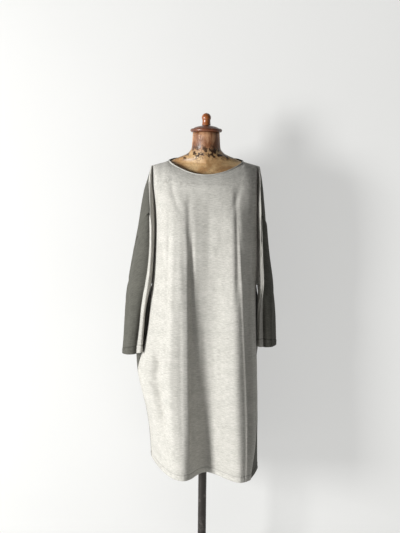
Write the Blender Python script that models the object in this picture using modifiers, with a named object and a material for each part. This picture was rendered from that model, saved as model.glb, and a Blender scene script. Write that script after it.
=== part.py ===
"""Two-tone jersey dress with dropped shoulders, hanging on a limbless dress form on a pole.

Metres, +Z up. The origin is on the floor under the pole, and the front of the dress faces -Y.
"""
import math
from collections import namedtuple

import bmesh
import bpy
from mathutils import Vector

# Cloth
WALL = 0.0014  # thickness of the jersey
SEAM_GAP = 0.0003  # space between two sewn pieces
MOST_TURN = math.radians(110)  # sharpest angle that a seam is cut back for
SHOULDER_GAP = 0.0005
ARMHOLE_GAP = 0.0006
ARMHOLE_EASE = 1.3  # how flat the armhole seam leaves the underarm
NOTCH = 0.0024  # the panel is nicked below the armpit fold, so that it can turn there
UNDERARM_CLEAR = 0.0085  # the armpit fold lies this far in from the sleeve
UNDERARM_RUN = 0.12  # and moves in over this height
SLEEVE_LOW = 0.006  # the sleeve's underarm seam starts this far below the underarm
TIP_GAP = 0.0009  # from the shoulder seam to the panel's corner at the shoulder point
HEM_HEIGHT = 0.386
UNDERARM_HEIGHT = 1.06
ARMHOLE_TOP = 1.313  # the armhole seam on the top seam of the sleeve
TIP_HEIGHT = 1.4725  # the shoulder point, where the cloth leaves the form
TIP_X = 0.1865
CHEST_HEIGHT = 1.40  # above it the panels roll over the shoulders
LEFT_CUFF = (0.825, 0.808)  # height at the inner and the outer side
RIGHT_CUFF = (0.846, 0.844)

# Neckline
NECK_X = 0.130  # half width
NECK_CORNER = 1.4885
FRONT_REACH = 0.089  # how far the front neckline lies before the shoulder seam
BACK_RISE = 0.024
BACK_REACH = 0.058
SHOULDER_DROP = 0.16  # how early the cloth rolls down past the shoulder seam
BACK_NECK_DROP = 0.5
BAND_HEIGHT = 0.0045
BAND_WALL = 0.0018
BAND_LIFT = 0.9  # how much the band stands up
BAND_END = 0.0012  # each half ends this far from the shoulder seam

# Samples along the panels
FRONT_STEPS = 3  # columns between two named lines
BACK_STEPS = 2
ROLL_ROWS = 5  # rows from the top edge to the chest height
CHEST_ROWS = 7  # rows from the chest height to the underarm
SKIRT_ROWS = 13  # rows from the underarm to the hem
CAP_COLUMNS = 5  # columns of the front from the armpit fold to the top seam
CAPE_COLUMNS = 12  # columns of the back from the armpit fold round to the top seam
SLEEVE_ROWS = 12

# A row for each line that runs down a panel. x_top and x_hem are its ends, share is how far it goes along
# with the swelling side, and the other columns are its depth y at five heights.
Line = namedtuple("Line", "name x_top x_hem share chest bust waist hip hem")
LINE_HEIGHTS = (1.40, 1.25, 1.03, 0.755, 0.386)

FRONT_LINES = (
    Line("left side", -0.169, -0.166, 0.95, -0.066, -0.070, -0.050, -0.040, 0.030),
    Line("left flank", -0.148, -0.137, 0.62, -0.084, -0.098, -0.078, -0.074, -0.048),
    Line("left cheek", -0.118, -0.105, 0.25, -0.096, -0.117, -0.108, -0.110, -0.104),
    Line("left ridge", -0.086, -0.070, 0.00, -0.102, -0.127, -0.126, -0.129, -0.130),
    Line("left wall", -0.056, -0.042, 0.00, -0.105, -0.124, -0.108, -0.108, -0.110),
    Line("valley left", -0.027, -0.020, 0.00, -0.107, -0.119, -0.095, -0.084, -0.070),
    Line("valley", 0.006, 0.010, 0.00, -0.108, -0.117, -0.092, -0.076, -0.038),
    Line("valley right", 0.040, 0.048, 0.00, -0.107, -0.119, -0.097, -0.086, -0.062),
    Line("right wall", 0.069, 0.083, 0.00, -0.104, -0.124, -0.113, -0.114, -0.104),
    Line("right ridge", 0.096, 0.122, 0.00, -0.100, -0.127, -0.124, -0.131, -0.138),
    Line("right turn", 0.120, 0.145, 0.20, -0.093, -0.116, -0.110, -0.116, -0.132),
    Line("right valley", 0.142, 0.157, 0.40, -0.083, -0.098, -0.090, -0.095, -0.121),
    Line("right side", 0.163, 0.165, 0.85, -0.064, -0.067, -0.076, -0.086, -0.113),
)
BACK_LINES = (
    Line("right side", 0.166, 0.199, 0.10, 0.050, 0.040, 0.020, 0.012, 0.004),
    Line("right corner", 0.152, 0.190, 0.15, 0.078, 0.078, 0.070, 0.072, 0.082),
    Line("ridge 1", 0.130, 0.160, 0.10, 0.092, 0.102, 0.112, 0.120, 0.135),
    Line("valley 1", 0.095, 0.118, 0.00, 0.099, 0.107, 0.106, 0.112, 0.122),
    Line("ridge 2", 0.055, 0.074, 0.00, 0.103, 0.114, 0.128, 0.140, 0.158),
    Line("valley 2", 0.010, 0.026, 0.00, 0.104, 0.112, 0.110, 0.112, 0.116),
    Line("ridge 3", -0.030, -0.020, 0.00, 0.104, 0.114, 0.127, 0.138, 0.154),
    Line("valley 3", -0.070, -0.062, 0.10, 0.102, 0.110, 0.108, 0.112, 0.120),
    Line("ridge 4", -0.112, -0.104, 0.35, 0.098, 0.110, 0.132, 0.142, 0.162),
    Line("left corner", -0.155, -0.150, 0.80, 0.086, 0.092, 0.104, 0.108, 0.170),
    Line("left side", -0.167, -0.186, 1.05, 0.058, 0.055, 0.055, 0.055, 0.150),
)

# A row for each height of the two side seams: how far the sides swell out past a straight line from the
# chest to the hem, and the depth y of the seam.
Side = namedtuple("Side", "height left_swell left_y right_swell right_y")
SIDE_TOP_X = 0.172
LEFT_HEM_X = 0.192
RIGHT_HEM_X = 0.168
SIDES = (
    Side(1.40, 0.004, -0.02, 0.002, -0.02),
    Side(1.27, -0.008, -0.02, -0.001, -0.02),
    Side(1.13, -0.001, -0.02, 0.003, -0.02),
    Side(1.06, 0.006, -0.015, 0.008, -0.015),
    Side(0.93, 0.014, -0.018, 0.012, -0.020),
    Side(0.84, 0.028, -0.018, 0.015, -0.030),
    Side(0.755, 0.050, 0.000, 0.018, -0.045),
    Side(0.70, 0.044, 0.022, 0.019, -0.055),
    Side(0.60, 0.022, 0.060, 0.020, -0.072),
    Side(0.50, 0.008, 0.092, 0.015, -0.086),
    Side(0.386, 0.000, 0.120, 0.000, -0.100),
)

# A row for each height of the sleeves. A section is an oval: length is its long half axis, nearly along Y,
# and x, y, width and turn give each side's centre, short half axis and turn in degrees. The angles start at
# its front end and grow toward the body: seam is the top seam, and front_edge and back_edge are the armpit
# folds, or the underarm seam where both are the same.
Arm = namedtuple("Arm", "height length seam front_edge back_edge left right")
Oval = namedtuple("Oval", "x y width turn")
ARMS = (
    Arm(1.4725, 0.0006, -90, 60, 120, Oval(0.1865, 0.000, 0.0030, 0), Oval(0.1835, 0.000, 0.0030, 0)),
    Arm(1.4690, 0.0110, -88, 62, 118, Oval(0.1868, 0.000, 0.0038, 0), Oval(0.1838, 0.000, 0.0036, 0)),
    Arm(1.4610, 0.0230, -78, 62, 118, Oval(0.1875, 0.000, 0.0048, 0), Oval(0.1843, 0.000, 0.0045, 0)),
    Arm(1.4470, 0.0370, -52, 62, 120, Oval(0.1890, 0.000, 0.0065, 0), Oval(0.1850, 0.000, 0.0058, 0)),
    Arm(1.4300, 0.0470, -28, 60, 120, Oval(0.1915, 0.000, 0.0090, 0), Oval(0.1870, 0.000, 0.0075, 0)),
    Arm(1.3900, 0.0620, -8, 58, 122, Oval(0.1960, 0.004, 0.0175, 4), Oval(0.1890, 0.002, 0.0110, 2)),
    Arm(1.3130, 0.0800, 0, 56, 116, Oval(0.2010, 0.006, 0.0260, 8), Oval(0.1930, 0.004, 0.0155, 2)),
    Arm(1.1800, 0.0820, -12, 58, 98, Oval(0.2150, 0.005, 0.0290, 20), Oval(0.2040, 0.004, 0.0185, 5)),
    Arm(1.0600, 0.0740, -18, 66, 66, Oval(0.2310, 0.000, 0.0300, 28), Oval(0.2150, 0.000, 0.0240, 10)),
    Arm(0.9900, 0.0620, -14, 100, 100, Oval(0.2430, 0.000, 0.0270, 32), Oval(0.2185, 0.000, 0.0265, 20)),
    Arm(0.9400, 0.0560, -12, 124, 124, Oval(0.2470, -0.002, 0.0270, 33), Oval(0.2205, -0.004, 0.0275, 25)),
    Arm(0.8200, 0.0490, -22, 145, 145, Oval(0.2540, -0.010, 0.0290, 35), Oval(0.2225, -0.014, 0.0285, 30)),
    Arm(0.7800, 0.0480, -22, 145, 145, Oval(0.2550, -0.011, 0.0290, 35), Oval(0.2225, -0.014, 0.0285, 30)),
)

# A row for each height of the form under the dress.
# It holds the dress 0.4 mm below the shoulder seams. round is 2 for an ellipse, less for a slimmer shoulder.
Torso = namedtuple("Torso", "height half_width front back round")
TORSO = (
    Torso(0.8000, 0.146, 0.060, 0.092, 2.3),
    Torso(0.8060, 0.150, 0.064, 0.096, 2.3),
    Torso(0.8700, 0.153, 0.070, 0.098, 2.3),
    Torso(0.9400, 0.142, 0.070, 0.088, 2.3),
    Torso(1.0400, 0.118, 0.066, 0.070, 2.3),
    Torso(1.1000, 0.122, 0.074, 0.074, 2.3),
    Torso(1.1800, 0.138, 0.098, 0.086, 2.3),
    Torso(1.2500, 0.146, 0.108, 0.094, 2.3),
    Torso(1.3300, 0.152, 0.096, 0.094, 2.2),
    Torso(1.3900, 0.160, 0.084, 0.088, 2.1),
    Torso(1.4300, 0.168, 0.072, 0.080, 2.0),
    Torso(1.4550, 0.171, 0.062, 0.068, 1.8),
    Torso(1.4700, 0.169, 0.055, 0.060, 1.3),
    Torso(1.4775, 0.165, 0.052, 0.057, 1.2),
    Torso(1.4817, 0.150, 0.051, 0.056, 1.15),
    Torso(1.4870, 0.129, 0.051, 0.055, 1.2),
    Torso(1.5000, 0.100, 0.051, 0.053, 1.45),
    Torso(1.5170, 0.063, 0.050, 0.050, 1.7),
    Torso(1.5350, 0.051, 0.048, 0.0475, 2.0),
    Torso(1.5920, 0.0475, 0.0475, 0.0475, 2.0),
)
TORSO_SIDES = 28

# Cap, knob, pole and foot
CAP_BASE = 1.5925
CAP_RADIUS = 0.055
CAP_HEIGHT = 0.019
KNOB_BASE = 1.6118
KNOB_RADIUS = 0.0163
KNOB_HEIGHT = 0.042
POLE_RADIUS = 0.015
FOOT_RADIUS = 0.165
FOOT_HEIGHT = 0.022
COLLAR_RADIUS = 0.026
COLLAR_HEIGHT = 0.040
POLE_TOP = 0.7997
ROUND_STEPS = 28

COLOURS = {
    "light cloth": (0.56, 0.55, 0.52, 1.0),
    "dark cloth": (0.10, 0.10, 0.085, 1.0),
    "leathered form": (0.50, 0.26, 0.12, 1.0),
    "turned wood": (0.28, 0.09, 0.04, 1.0),
    "dark steel": (0.045, 0.042, 0.040, 1.0),
}


def clear_scene():
    """Remove whatever the open file holds."""
    for item in list(bpy.data.objects):
        bpy.data.objects.remove(item, do_unlink=True)


def material(name, roughness, metallic=0.0):
    """Make a plain material of the named colour."""
    made = bpy.data.materials.new(name)
    made.use_nodes = True
    shader = made.node_tree.nodes["Principled BSDF"]
    shader.inputs["Base Color"].default_value = COLOURS[name]
    shader.inputs["Roughness"].default_value = roughness
    shader.inputs["Metallic"].default_value = metallic
    return made


def mix(start, end, share):
    """Go from start to end by a share."""
    return start + (end - start) * share


def smooth_value(heights, values, height):
    """Read a smooth curve through values at falling or rising heights, without overshoot."""
    if heights[0] > heights[-1]:
        heights, values = heights[::-1], values[::-1]
    height = min(max(height, heights[0]), heights[-1])
    last = len(heights) - 2
    slot = next((n for n in range(last) if height <= heights[n + 1]), last)
    slopes = [(values[n + 1] - values[n]) / (heights[n + 1] - heights[n]) for n in range(last + 1)]

    def tangent(n):
        if n == 0 or n == last + 1:
            return slopes[min(n, last)]
        before, after = slopes[n - 1], slopes[n]
        if before * after <= 0:
            return 0.0
        return 2 * before * after / (before + after)

    step = heights[slot + 1] - heights[slot]
    t = (height - heights[slot]) / step
    rise = values[slot + 1] - values[slot]
    bend = tangent(slot) * step * t * (1 - t) ** 2 - tangent(slot + 1) * step * t * t * (1 - t)
    return values[slot] + rise * t * t * (3 - 2 * t) + bend


def column(rows, name, height):
    """Read one named column of a table of heights."""
    return smooth_value([row.height for row in rows], [getattr(row, name) for row in rows], height)


def side_point(side, height):
    """Place the side seam of the skirt: side is -1 on the left and 1 on the right."""
    name, hem_x = ("left", LEFT_HEM_X) if side < 0 else ("right", RIGHT_HEM_X)
    down = (CHEST_HEIGHT - height) / (CHEST_HEIGHT - HEM_HEIGHT)
    x = mix(SIDE_TOP_X, hem_x, down) + column(SIDES, name + "_swell", height)
    return Vector((side * x, column(SIDES, name + "_y", height), height))


def arm_value(side, name, height):
    """Read one named column of a side's ovals."""
    arm = "left" if side < 0 else "right"
    rows = [(row.height, getattr(getattr(row, arm), name)) for row in ARMS]
    return smooth_value([row[0] for row in rows], [row[1] for row in rows], height)


def arm_point(side, height, degrees):
    """Place a point of a sleeve's oval. Angles start at the front end and grow toward the body."""
    angle = math.radians(degrees)
    turn = math.radians(arm_value(side, "turn", height))
    along = column(ARMS, "length", height) * math.cos(angle)
    across = arm_value(side, "width", height) * math.sin(angle)
    x = arm_value(side, "x", height) - along * math.sin(turn) - across * math.cos(turn)
    y = arm_value(side, "y", height) - along * math.cos(turn) + across * math.sin(turn)
    return Vector((side * x, y, height))


def fold_shift(side, height):
    """Move the armpit fold in near the underarm."""
    near = max(0.0, 1 - abs(height - UNDERARM_HEIGHT) / UNDERARM_RUN)
    return Vector((-side * UNDERARM_CLEAR * near * near, 0, 0))


def armpit_point(side, height, edge):
    """Place the armpit fold above the underarm, and the side seam of the skirt below it."""
    if height >= UNDERARM_HEIGHT:
        return arm_point(side, height, column(ARMS, edge, height)) + fold_shift(side, height)
    shift = armpit_point(side, UNDERARM_HEIGHT, edge) - side_point(side, UNDERARM_HEIGHT)
    fade = max(0.0, 1 - (UNDERARM_HEIGHT - height) / UNDERARM_RUN) ** 2
    return side_point(side, height) + Vector((shift.x, shift.y, 0)) * fade


def line_point(line, height):
    """Place a named line of a panel at a height."""
    down = (CHEST_HEIGHT - height) / (CHEST_HEIGHT - HEM_HEIGHT)
    side = "left_swell" if line.x_top < 0 else "right_swell"
    swell = line.share * column(SIDES, side, height) * math.copysign(1, line.x_top)
    depth = smooth_value(LINE_HEIGHTS, line[4:], height)
    return Vector((mix(line.x_top, line.x_hem, down) + swell, depth, height))


def curve_between(before, start, end, after, t):
    """Read a Catmull-Rom curve between two points, with a point beyond each end."""
    head = (end - before) * 0.5
    tail = (after - start) * 0.5
    a = start * 2 - end * 2 + head + tail
    b = end * 3 - start * 3 - head * 2 - tail
    return ((a * t + b) * t + head) * t + start


def ring_row(lines, first, last, beyond, steps, height):
    """Place one row of a panel at a height, from one armpit fold or side seam to the other."""
    points = [first] + [line_point(line, height) for line in lines] + [last]
    padded = [beyond[0]] + points + [beyond[1]]
    row = []
    for n in range(len(points) - 1):
        row += [curve_between(*padded[n:n + 4], step / steps) for step in range(steps)]
    return row + [points[-1]]


def panel_row(front, height):
    """Place one row of the front or back panel at a height."""
    lines, others = (FRONT_LINES, BACK_LINES) if front else (BACK_LINES, FRONT_LINES)
    edge = "front_edge" if front else "back_edge"
    first_side = -1 if front else 1
    first = armpit_point(first_side, height, edge)
    last = armpit_point(-first_side, height, edge)
    if height >= UNDERARM_HEIGHT:
        beyond = (first * 2 - line_point(lines[0], height), last * 2 - line_point(lines[-1], height))
    else:
        beyond = (line_point(others[-1], height), line_point(others[0], height))
    return ring_row(lines, first, last, beyond, FRONT_STEPS if front else BACK_STEPS, height)


def off_seam(front, point):
    """Keep a point of a panel on its own side of the shoulder seam."""
    depth = min(point.y, -SEAM_GAP) if front else max(point.y, SEAM_GAP)
    return Vector((point.x, depth, point.z))


def tip_point(front, side):
    """Place a panel's corner at the shoulder point."""
    return Vector((side * TIP_X, -TIP_GAP if front else TIP_GAP, TIP_HEIGHT))


def neck_share(x):
    """Give 1 in the middle of the neckline and 0 at its corners and on the shoulders."""
    return math.sqrt(max(0.0, 1 - (x / NECK_X) ** 2))


def top_point(front, x):
    """Place the shoulder seam, and between its ends the back neckline or the line that the front rolls from."""
    share = neck_share(x)
    shoulder = mix(NECK_CORNER, TIP_HEIGHT, (abs(x) - NECK_X) / (TIP_X - NECK_X))
    if front:
        return Vector((x, -SHOULDER_GAP, min(shoulder, NECK_CORNER)))
    if share == 0:
        return Vector((x, SHOULDER_GAP, shoulder))
    return Vector((x, SHOULDER_GAP + BACK_REACH * share, NECK_CORNER + BACK_RISE * share))


def top_columns(front):
    """Give the x of each column's top, with one column on each corner of the neckline."""
    row = panel_row(front, CHEST_HEIGHT)
    edge = "front_edge" if front else "back_edge"
    ends = {side: abs(armpit_point(side, TIP_HEIGHT, edge).x) for side in (-1, 1)}
    widths = {math.copysign(1, point.x): abs(point.x) for point in (row[0], row[-1])}
    tops = [point.x * ends[math.copysign(1, point.x)] / widths[math.copysign(1, point.x)] for point in row]
    for corner in (-NECK_X, NECK_X):
        nearest = min(range(len(tops)), key=lambda n: abs(tops[n] - corner))
        tops[nearest] = corner
    return tops


def roll_rows(front):
    """Roll the panel from its top edge over the shoulder and down to the chest height."""
    chest = panel_row(front, CHEST_HEIGHT)
    heights = [mix(TIP_HEIGHT, CHEST_HEIGHT, (n / ROLL_ROWS) ** 1.6) for n in range(ROLL_ROWS)]
    rows = [[] for _ in heights]
    edge = "front_edge" if front else "back_edge"
    for n, (x, low) in enumerate(zip(top_columns(front), chest)):
        if n in (0, len(chest) - 1):
            side = math.copysign(1, x)
            rows[0].append(tip_point(front, side))
            for row, height in zip(rows[1:], heights[1:]):
                row.append(off_seam(front, armpit_point(side, height, edge)))
            continue
        top = top_point(front, x)
        share = 0 if front else neck_share(x)
        drop = mix(SHOULDER_DROP, BACK_NECK_DROP, share)
        bend = Vector((mix(x, low.x, 0.5), low.y * mix(0.80, 0.93, share), mix(top.z, low.z, drop)))
        start = neckline_start(x, top, bend, low) if front else 0
        for m, row in enumerate(rows):
            row.append(roll_point(top, bend, low, mix(start, 1, (m / ROLL_ROWS) ** 1.15)))
    return rows


def roll_point(top, bend, low, t):
    """Read the curve in which the cloth rolls over the shoulder."""
    return top * (1 - t) ** 2 + bend * (2 * t * (1 - t)) + low * t * t


def neckline_start(x, top, bend, low):
    """Find where the front neckline cuts this roll: its plan is half an ellipse."""
    reach = SHOULDER_GAP + FRONT_REACH * neck_share(x)
    start, end = 0.0, 1.0
    for _ in range(30):
        middle = (start + end) / 2
        if -roll_point(top, bend, low, middle).y < reach:
            start = middle
        else:
            end = middle
    return start if neck_share(x) else 0.0


def row_heights():
    """Give the height of each level row from the chest down to the hem."""
    chest = [mix(CHEST_HEIGHT, UNDERARM_HEIGHT, 1 - (1 - n / CHEST_ROWS) ** 1.4) for n in range(CHEST_ROWS)]
    skirt = [mix(UNDERARM_HEIGHT, HEM_HEIGHT, n / SKIRT_ROWS) for n in range(SKIRT_ROWS + 1)]
    return chest + skirt


def seam_height(share):
    """Give the height of the armhole seam: share is 0 at the armpit and 1 at the top seam."""
    return mix(UNDERARM_HEIGHT, ARMHOLE_TOP, (share * share * (3 - 2 * share)) ** ARMHOLE_EASE)


def shoulder_columns(front, side, body_heights):
    """Place the dropped shoulder of a panel, as columns from the armpit fold to the top seam."""
    count = CAP_COLUMNS if front else CAPE_COLUMNS
    columns = []
    for n in range(1, count + 1):
        share = n / count
        low = seam_height(share)
        points = [tip_point(front, side)]
        for height in body_heights[1:-1]:
            down = (TIP_HEIGHT - height) / (TIP_HEIGHT - UNDERARM_HEIGHT)
            points.append(sleeve_point(front, side, share, mix(TIP_HEIGHT, low, down)))
        columns.append(points + [armhole_point(front, side, n, -1)])
    return columns


def sleeve_point(front, side, share, height):
    """Place a point of a sleeve half: share is 0 at the armpit fold and 1 at the top seam."""
    start = column(ARMS, "front_edge" if front or height <= UNDERARM_HEIGHT else "back_edge", height)
    seam = column(ARMS, "seam", height) + (0 if front else 360)
    return arm_point(side, height, mix(start, seam, share)) + fold_shift(side, height) * (1 - share) ** 6


def armhole_point(front, side, n, lean):
    """Place point n of the armhole seam, half a gap up on the panel (lean -1) or down on the sleeve (lean 1)."""
    count = CAP_COLUMNS if front else CAPE_COLUMNS
    before, here, after = (min(max(n + step, 0), count) / count for step in (-1, 0, 1))
    point = sleeve_point(front, side, here, seam_height(here))
    along = sleeve_point(front, side, after, seam_height(after))
    along -= sleeve_point(front, side, before, seam_height(before))
    along.normalize()
    down = sleeve_point(front, side, here, point.z - 0.01) - point
    if n < count:
        down -= along * down.dot(along)
    return point + down.normalized() * (lean * ARMHOLE_GAP / 2)


def cut_back(edge, inner, beyond):
    """Pull a seam's edge toward its own panel, further where the walls meet at a sharp angle.

    The three lists run along the seam: its points, and the next ones on this panel and on the other.
    """
    cut = []
    for n, point in enumerate(edge):
        seam = (edge[min(n + 1, len(edge) - 1)] - edge[max(n - 1, 0)]).normalized()
        here, there = inner[n] - point, beyond[n] - point
        here -= seam * here.dot(seam)
        there -= seam * there.dot(seam)
        turn = min(math.pi - here.angle(there), MOST_TURN)
        cut.append(point + here.normalized() * (SEAM_GAP / 2 + WALL / 2 * math.tan(turn / 2)))
    return cut


def grid_mesh(bm, rows):
    """Add a sheet of quads through rows of points, and give its vertices by row."""
    grid = [[bm.verts.new(point) for point in row] for row in rows]
    for upper, lower in zip(grid, grid[1:]):
        for n in range(len(upper) - 1):
            bm.faces.new((upper[n], lower[n], lower[n + 1], upper[n + 1]))


def cloth_object(name, bm, finish, wall=WALL):
    """Turn a sheet into a named cloth wall."""
    bmesh.ops.remove_doubles(bm, verts=bm.verts, dist=0.00005)
    bmesh.ops.recalc_face_normals(bm, faces=bm.faces)
    mesh = bpy.data.meshes.new(name)
    bm.to_mesh(mesh)
    bm.free()
    item = bpy.data.objects.new(name, mesh)
    mesh.materials.append(finish)
    PARTS.objects.link(item)
    thick = item.modifiers.new("Wall", "SOLIDIFY")
    thick.thickness = wall
    thick.offset = 0
    return item


def cut_sides(rows, others):
    """Cut both side seams of the skirt back from the other panel, whose rows run the other way round."""
    for end, inner, beyond in ((0, 1, -2), (-1, -2, 1)):
        edge = [row[end] for row in rows]
        cut = cut_back(edge, [row[inner] for row in rows], [row[beyond] for row in others])
        for row, point in zip(rows, cut):
            row[end] = point


def make_panel(name, front, finish):
    """Make the front or back panel with its dropped shoulders."""
    rows = roll_rows(front) + [panel_row(front, height) for height in row_heights()]
    deep = ROLL_ROWS + CHEST_ROWS + 1
    cut_sides(rows[deep - 1:], [panel_row(not front, height) for height in row_heights()[CHEST_ROWS:]])
    bm = bmesh.new()
    grid_mesh(bm, rows)
    first_side = -1 if front else 1
    for side, index in ((first_side, 0), (-first_side, -1)):
        armpit = [row[index] for row in rows[:deep]]
        heights = [point.z for point in armpit]
        columns = [armpit[:-1] + [armpit[-1] + Vector((side * NOTCH, 0, 0))]]
        columns += shoulder_columns(front, side, heights)
        beyond = shoulder_columns(not front, side, heights)[-2]
        columns[-1][1:] = cut_back(columns[-1][1:], columns[-2][1:], beyond[1:])
        grid_mesh(bm, list(zip(*columns)))
    return cloth_object(name, bm, finish)


def sleeve_columns(front, side, cuff):
    """Place a sleeve half's columns, from the underarm seam to the top seam."""
    count = CAP_COLUMNS if front else CAPE_COLUMNS
    columns = []
    for n in range(count + 1):
        top = armhole_point(front, side, n, 1)
        if n == 0:
            low = UNDERARM_HEIGHT - SLEEVE_LOW
            top = arm_point(side, low, column(ARMS, "front_edge", low))
        points = [top]
        for row in range(1, SLEEVE_ROWS + 1):
            z = mix(top.z, cuff, row / SLEEVE_ROWS)
            point = sleeve_point(front, side, n / count, z)
            points.append(point - fold_shift(side, z) if n == 0 else point)
        columns.append(points)
    return columns


def make_sleeve(name, front, side, finish):
    """Make one half of a sleeve, from the armhole seam to the cuff."""
    inner = (LEFT_CUFF if side < 0 else RIGHT_CUFF)[0]
    outer = (LEFT_CUFF if side < 0 else RIGHT_CUFF)[1]
    columns = sleeve_columns(front, side, inner)
    others = sleeve_columns(not front, side, inner)
    columns[0] = cut_back(columns[0], columns[1], others[1])
    columns[-1] = cut_back(columns[-1], columns[-2], others[-2])
    bm = bmesh.new()
    grid_mesh(bm, list(zip(*columns)))
    for vert in bm.verts:
        reach = (vert.co.z - inner) / (ARMHOLE_TOP - inner)
        outward = (abs(vert.co.x) - TIP_X) / 0.1
        vert.co.z += (outer - inner) * outward * (1 - reach) ** 2
    return cloth_object(name, bm, finish)


def make_band(name, front, finish):
    """Make the narrow band on the neckline, standing on the panel's top edge."""
    rolls = roll_rows(front)
    edge = [(top, below) for top, below in zip(rolls[0], rolls[1]) if abs(top.x) <= NECK_X + SEAM_GAP]
    end_y = -BAND_END if front else BAND_END
    low_row, high_row = [], []
    for n, (top, below) in enumerate(edge):
        along = (edge[min(n + 1, len(edge) - 1)][0] - edge[max(n - 1, 0)][0]).normalized()
        up = top - below
        up -= along * up.dot(along)
        up = (up.normalized() + Vector((0, 0, BAND_LIFT))).normalized()
        if n in (0, len(edge) - 1):
            up = Vector((up.x, 0, up.z)).normalized()
            top = Vector((top.x, end_y, top.z))
        low_row.append(top + up * (SEAM_GAP + BAND_WALL / 2))
        high_row.append(top + up * (SEAM_GAP + BAND_HEIGHT))
    bm = bmesh.new()
    grid_mesh(bm, [high_row, low_row])
    return cloth_object(name, bm, finish, BAND_WALL)


def torso_section(row):
    """Give the points of one level section of the form, counter-clockwise from +X."""
    power = 2 / row.round
    points = []
    for n in range(TORSO_SIDES):
        angle = 2 * math.pi * n / TORSO_SIDES
        along, across = math.cos(angle), math.sin(angle)
        depth = row.back if across > 0 else row.front
        x = row.half_width * math.copysign(abs(along) ** power, along)
        y = depth * math.copysign(abs(across) ** power, across)
        points.append(Vector((x, y, row.height)))
    return points


def make_torso(finish):
    """Loft the torso and neck of the form through its sections."""
    bm = bmesh.new()
    rings = [[bm.verts.new(point) for point in torso_section(row)] for row in TORSO]
    for lower, upper in zip(rings, rings[1:]):
        for n in range(TORSO_SIDES):
            after = (n + 1) % TORSO_SIDES
            bm.faces.new((lower[n], lower[after], upper[after], upper[n]))
    bm.faces.new(rings[0][::-1])
    bm.faces.new(rings[-1])
    mesh = bpy.data.meshes.new("form_torso")
    bm.to_mesh(mesh)
    bm.free()
    mesh.shade_smooth()
    mesh.materials.append(finish)
    PARTS.objects.link(bpy.data.objects.new("form_torso", mesh))


def arc(centre, radius, start, end, count):
    """Give points of a circle's arc in a profile, angles in degrees."""
    angles = [math.radians(mix(start, end, n / count)) for n in range(count + 1)]
    return [(centre[0] + radius * math.cos(a), centre[1] + radius * math.sin(a)) for a in angles]


def make_turned(name, profile, finish):
    """Turn a profile of (radius, height) points, listed from the top down, round the pole's axis."""
    bm = bmesh.new()
    verts = [bm.verts.new((radius, 0, height)) for radius, height in profile]
    for upper, lower in zip(verts, verts[1:]):
        bm.edges.new((upper, lower))
    mesh = bpy.data.meshes.new(name)
    bm.to_mesh(mesh)
    bm.free()
    mesh.materials.append(finish)
    item = bpy.data.objects.new(name, mesh)
    PARTS.objects.link(item)
    turn = item.modifiers.new("Turn", "SCREW")
    turn.steps = ROUND_STEPS
    turn.render_steps = ROUND_STEPS
    turn.use_merge_vertices = True
    turn.merge_threshold = 0.00005
    turn.use_smooth_shade = True
    return item


def cap_profile():
    """Outline the cap: a low dome with a rounded rim over a short spigot."""
    rim = 0.004
    dome = [(CAP_RADIUS * 0.86 * math.sin(a), CAP_BASE + CAP_HEIGHT - 0.004 * (1 - math.cos(a)))
            for a in (math.radians(18 * n) for n in range(6))]
    edge = arc((CAP_RADIUS - rim, CAP_BASE + rim + 0.006), rim, 60, -90, 5)
    return dome + edge + [(CAP_RADIUS - 0.008, CAP_BASE), (0, CAP_BASE)]


def knob_profile():
    """Outline the knob: a ball on a waisted stem."""
    ball = KNOB_BASE + KNOB_HEIGHT - KNOB_RADIUS
    stem = KNOB_RADIUS * 0.70
    return arc((0, ball), KNOB_RADIUS, 90, -38, 8) + [
        (stem, KNOB_BASE + 0.009),
        (stem * 1.05, KNOB_BASE + 0.003),
        (stem * 1.20, KNOB_BASE),
        (0, KNOB_BASE),
    ]


def foot_profile():
    """Outline the foot: a heavy disc with a rounded rim."""
    rim = FOOT_HEIGHT * 0.45
    top = arc((FOOT_RADIUS - rim, FOOT_HEIGHT - rim), rim, 90, 0, 4)
    return [(0, FOOT_HEIGHT)] + top + [(FOOT_RADIUS, 0.002), (FOOT_RADIUS - 0.002, 0), (0, 0)]


def collar_profile():
    """Outline the collar that holds the pole on the foot."""
    low = FOOT_HEIGHT + SEAM_GAP
    high = low + COLLAR_HEIGHT
    inner = POLE_RADIUS + SEAM_GAP
    return [
        (inner, high),
        (COLLAR_RADIUS - 0.003, high),
        (COLLAR_RADIUS, high - 0.003),
        (COLLAR_RADIUS, low),
        (inner, low),
        (inner, high),
    ]


def pole_profile():
    """Outline the pole, from the foot up to the form."""
    low = FOOT_HEIGHT + SEAM_GAP
    return [(0, POLE_TOP), (POLE_RADIUS, POLE_TOP), (POLE_RADIUS, low), (0, low)]


clear_scene()
PARTS = bpy.data.collections.new("dress_on_form")
bpy.context.scene.collection.children.link(PARTS)

light_cloth = material("light cloth", 0.95)
dark_cloth = material("dark cloth", 0.95)
form_skin = material("leathered form", 0.55)
wood = material("turned wood", 0.35)
steel = material("dark steel", 0.4, 0.7)

make_panel("dress_front", True, light_cloth)
make_panel("dress_back", False, dark_cloth)
for arm_side, arm_name in ((-1, "left"), (1, "right")):
    make_sleeve(f"sleeve_{arm_name}_front", True, arm_side, light_cloth)
    make_sleeve(f"sleeve_{arm_name}_back", False, arm_side, dark_cloth)
make_band("neckband_front", True, light_cloth)
make_band("neckband_back", False, dark_cloth)
make_torso(form_skin)
make_turned("neck_cap", cap_profile(), wood)
make_turned("cap_knob", knob_profile(), wood)
make_turned("pole", pole_profile(), steel)
make_turned("pole_collar", collar_profile(), steel)
make_turned("foot", foot_profile(), steel)
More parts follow.
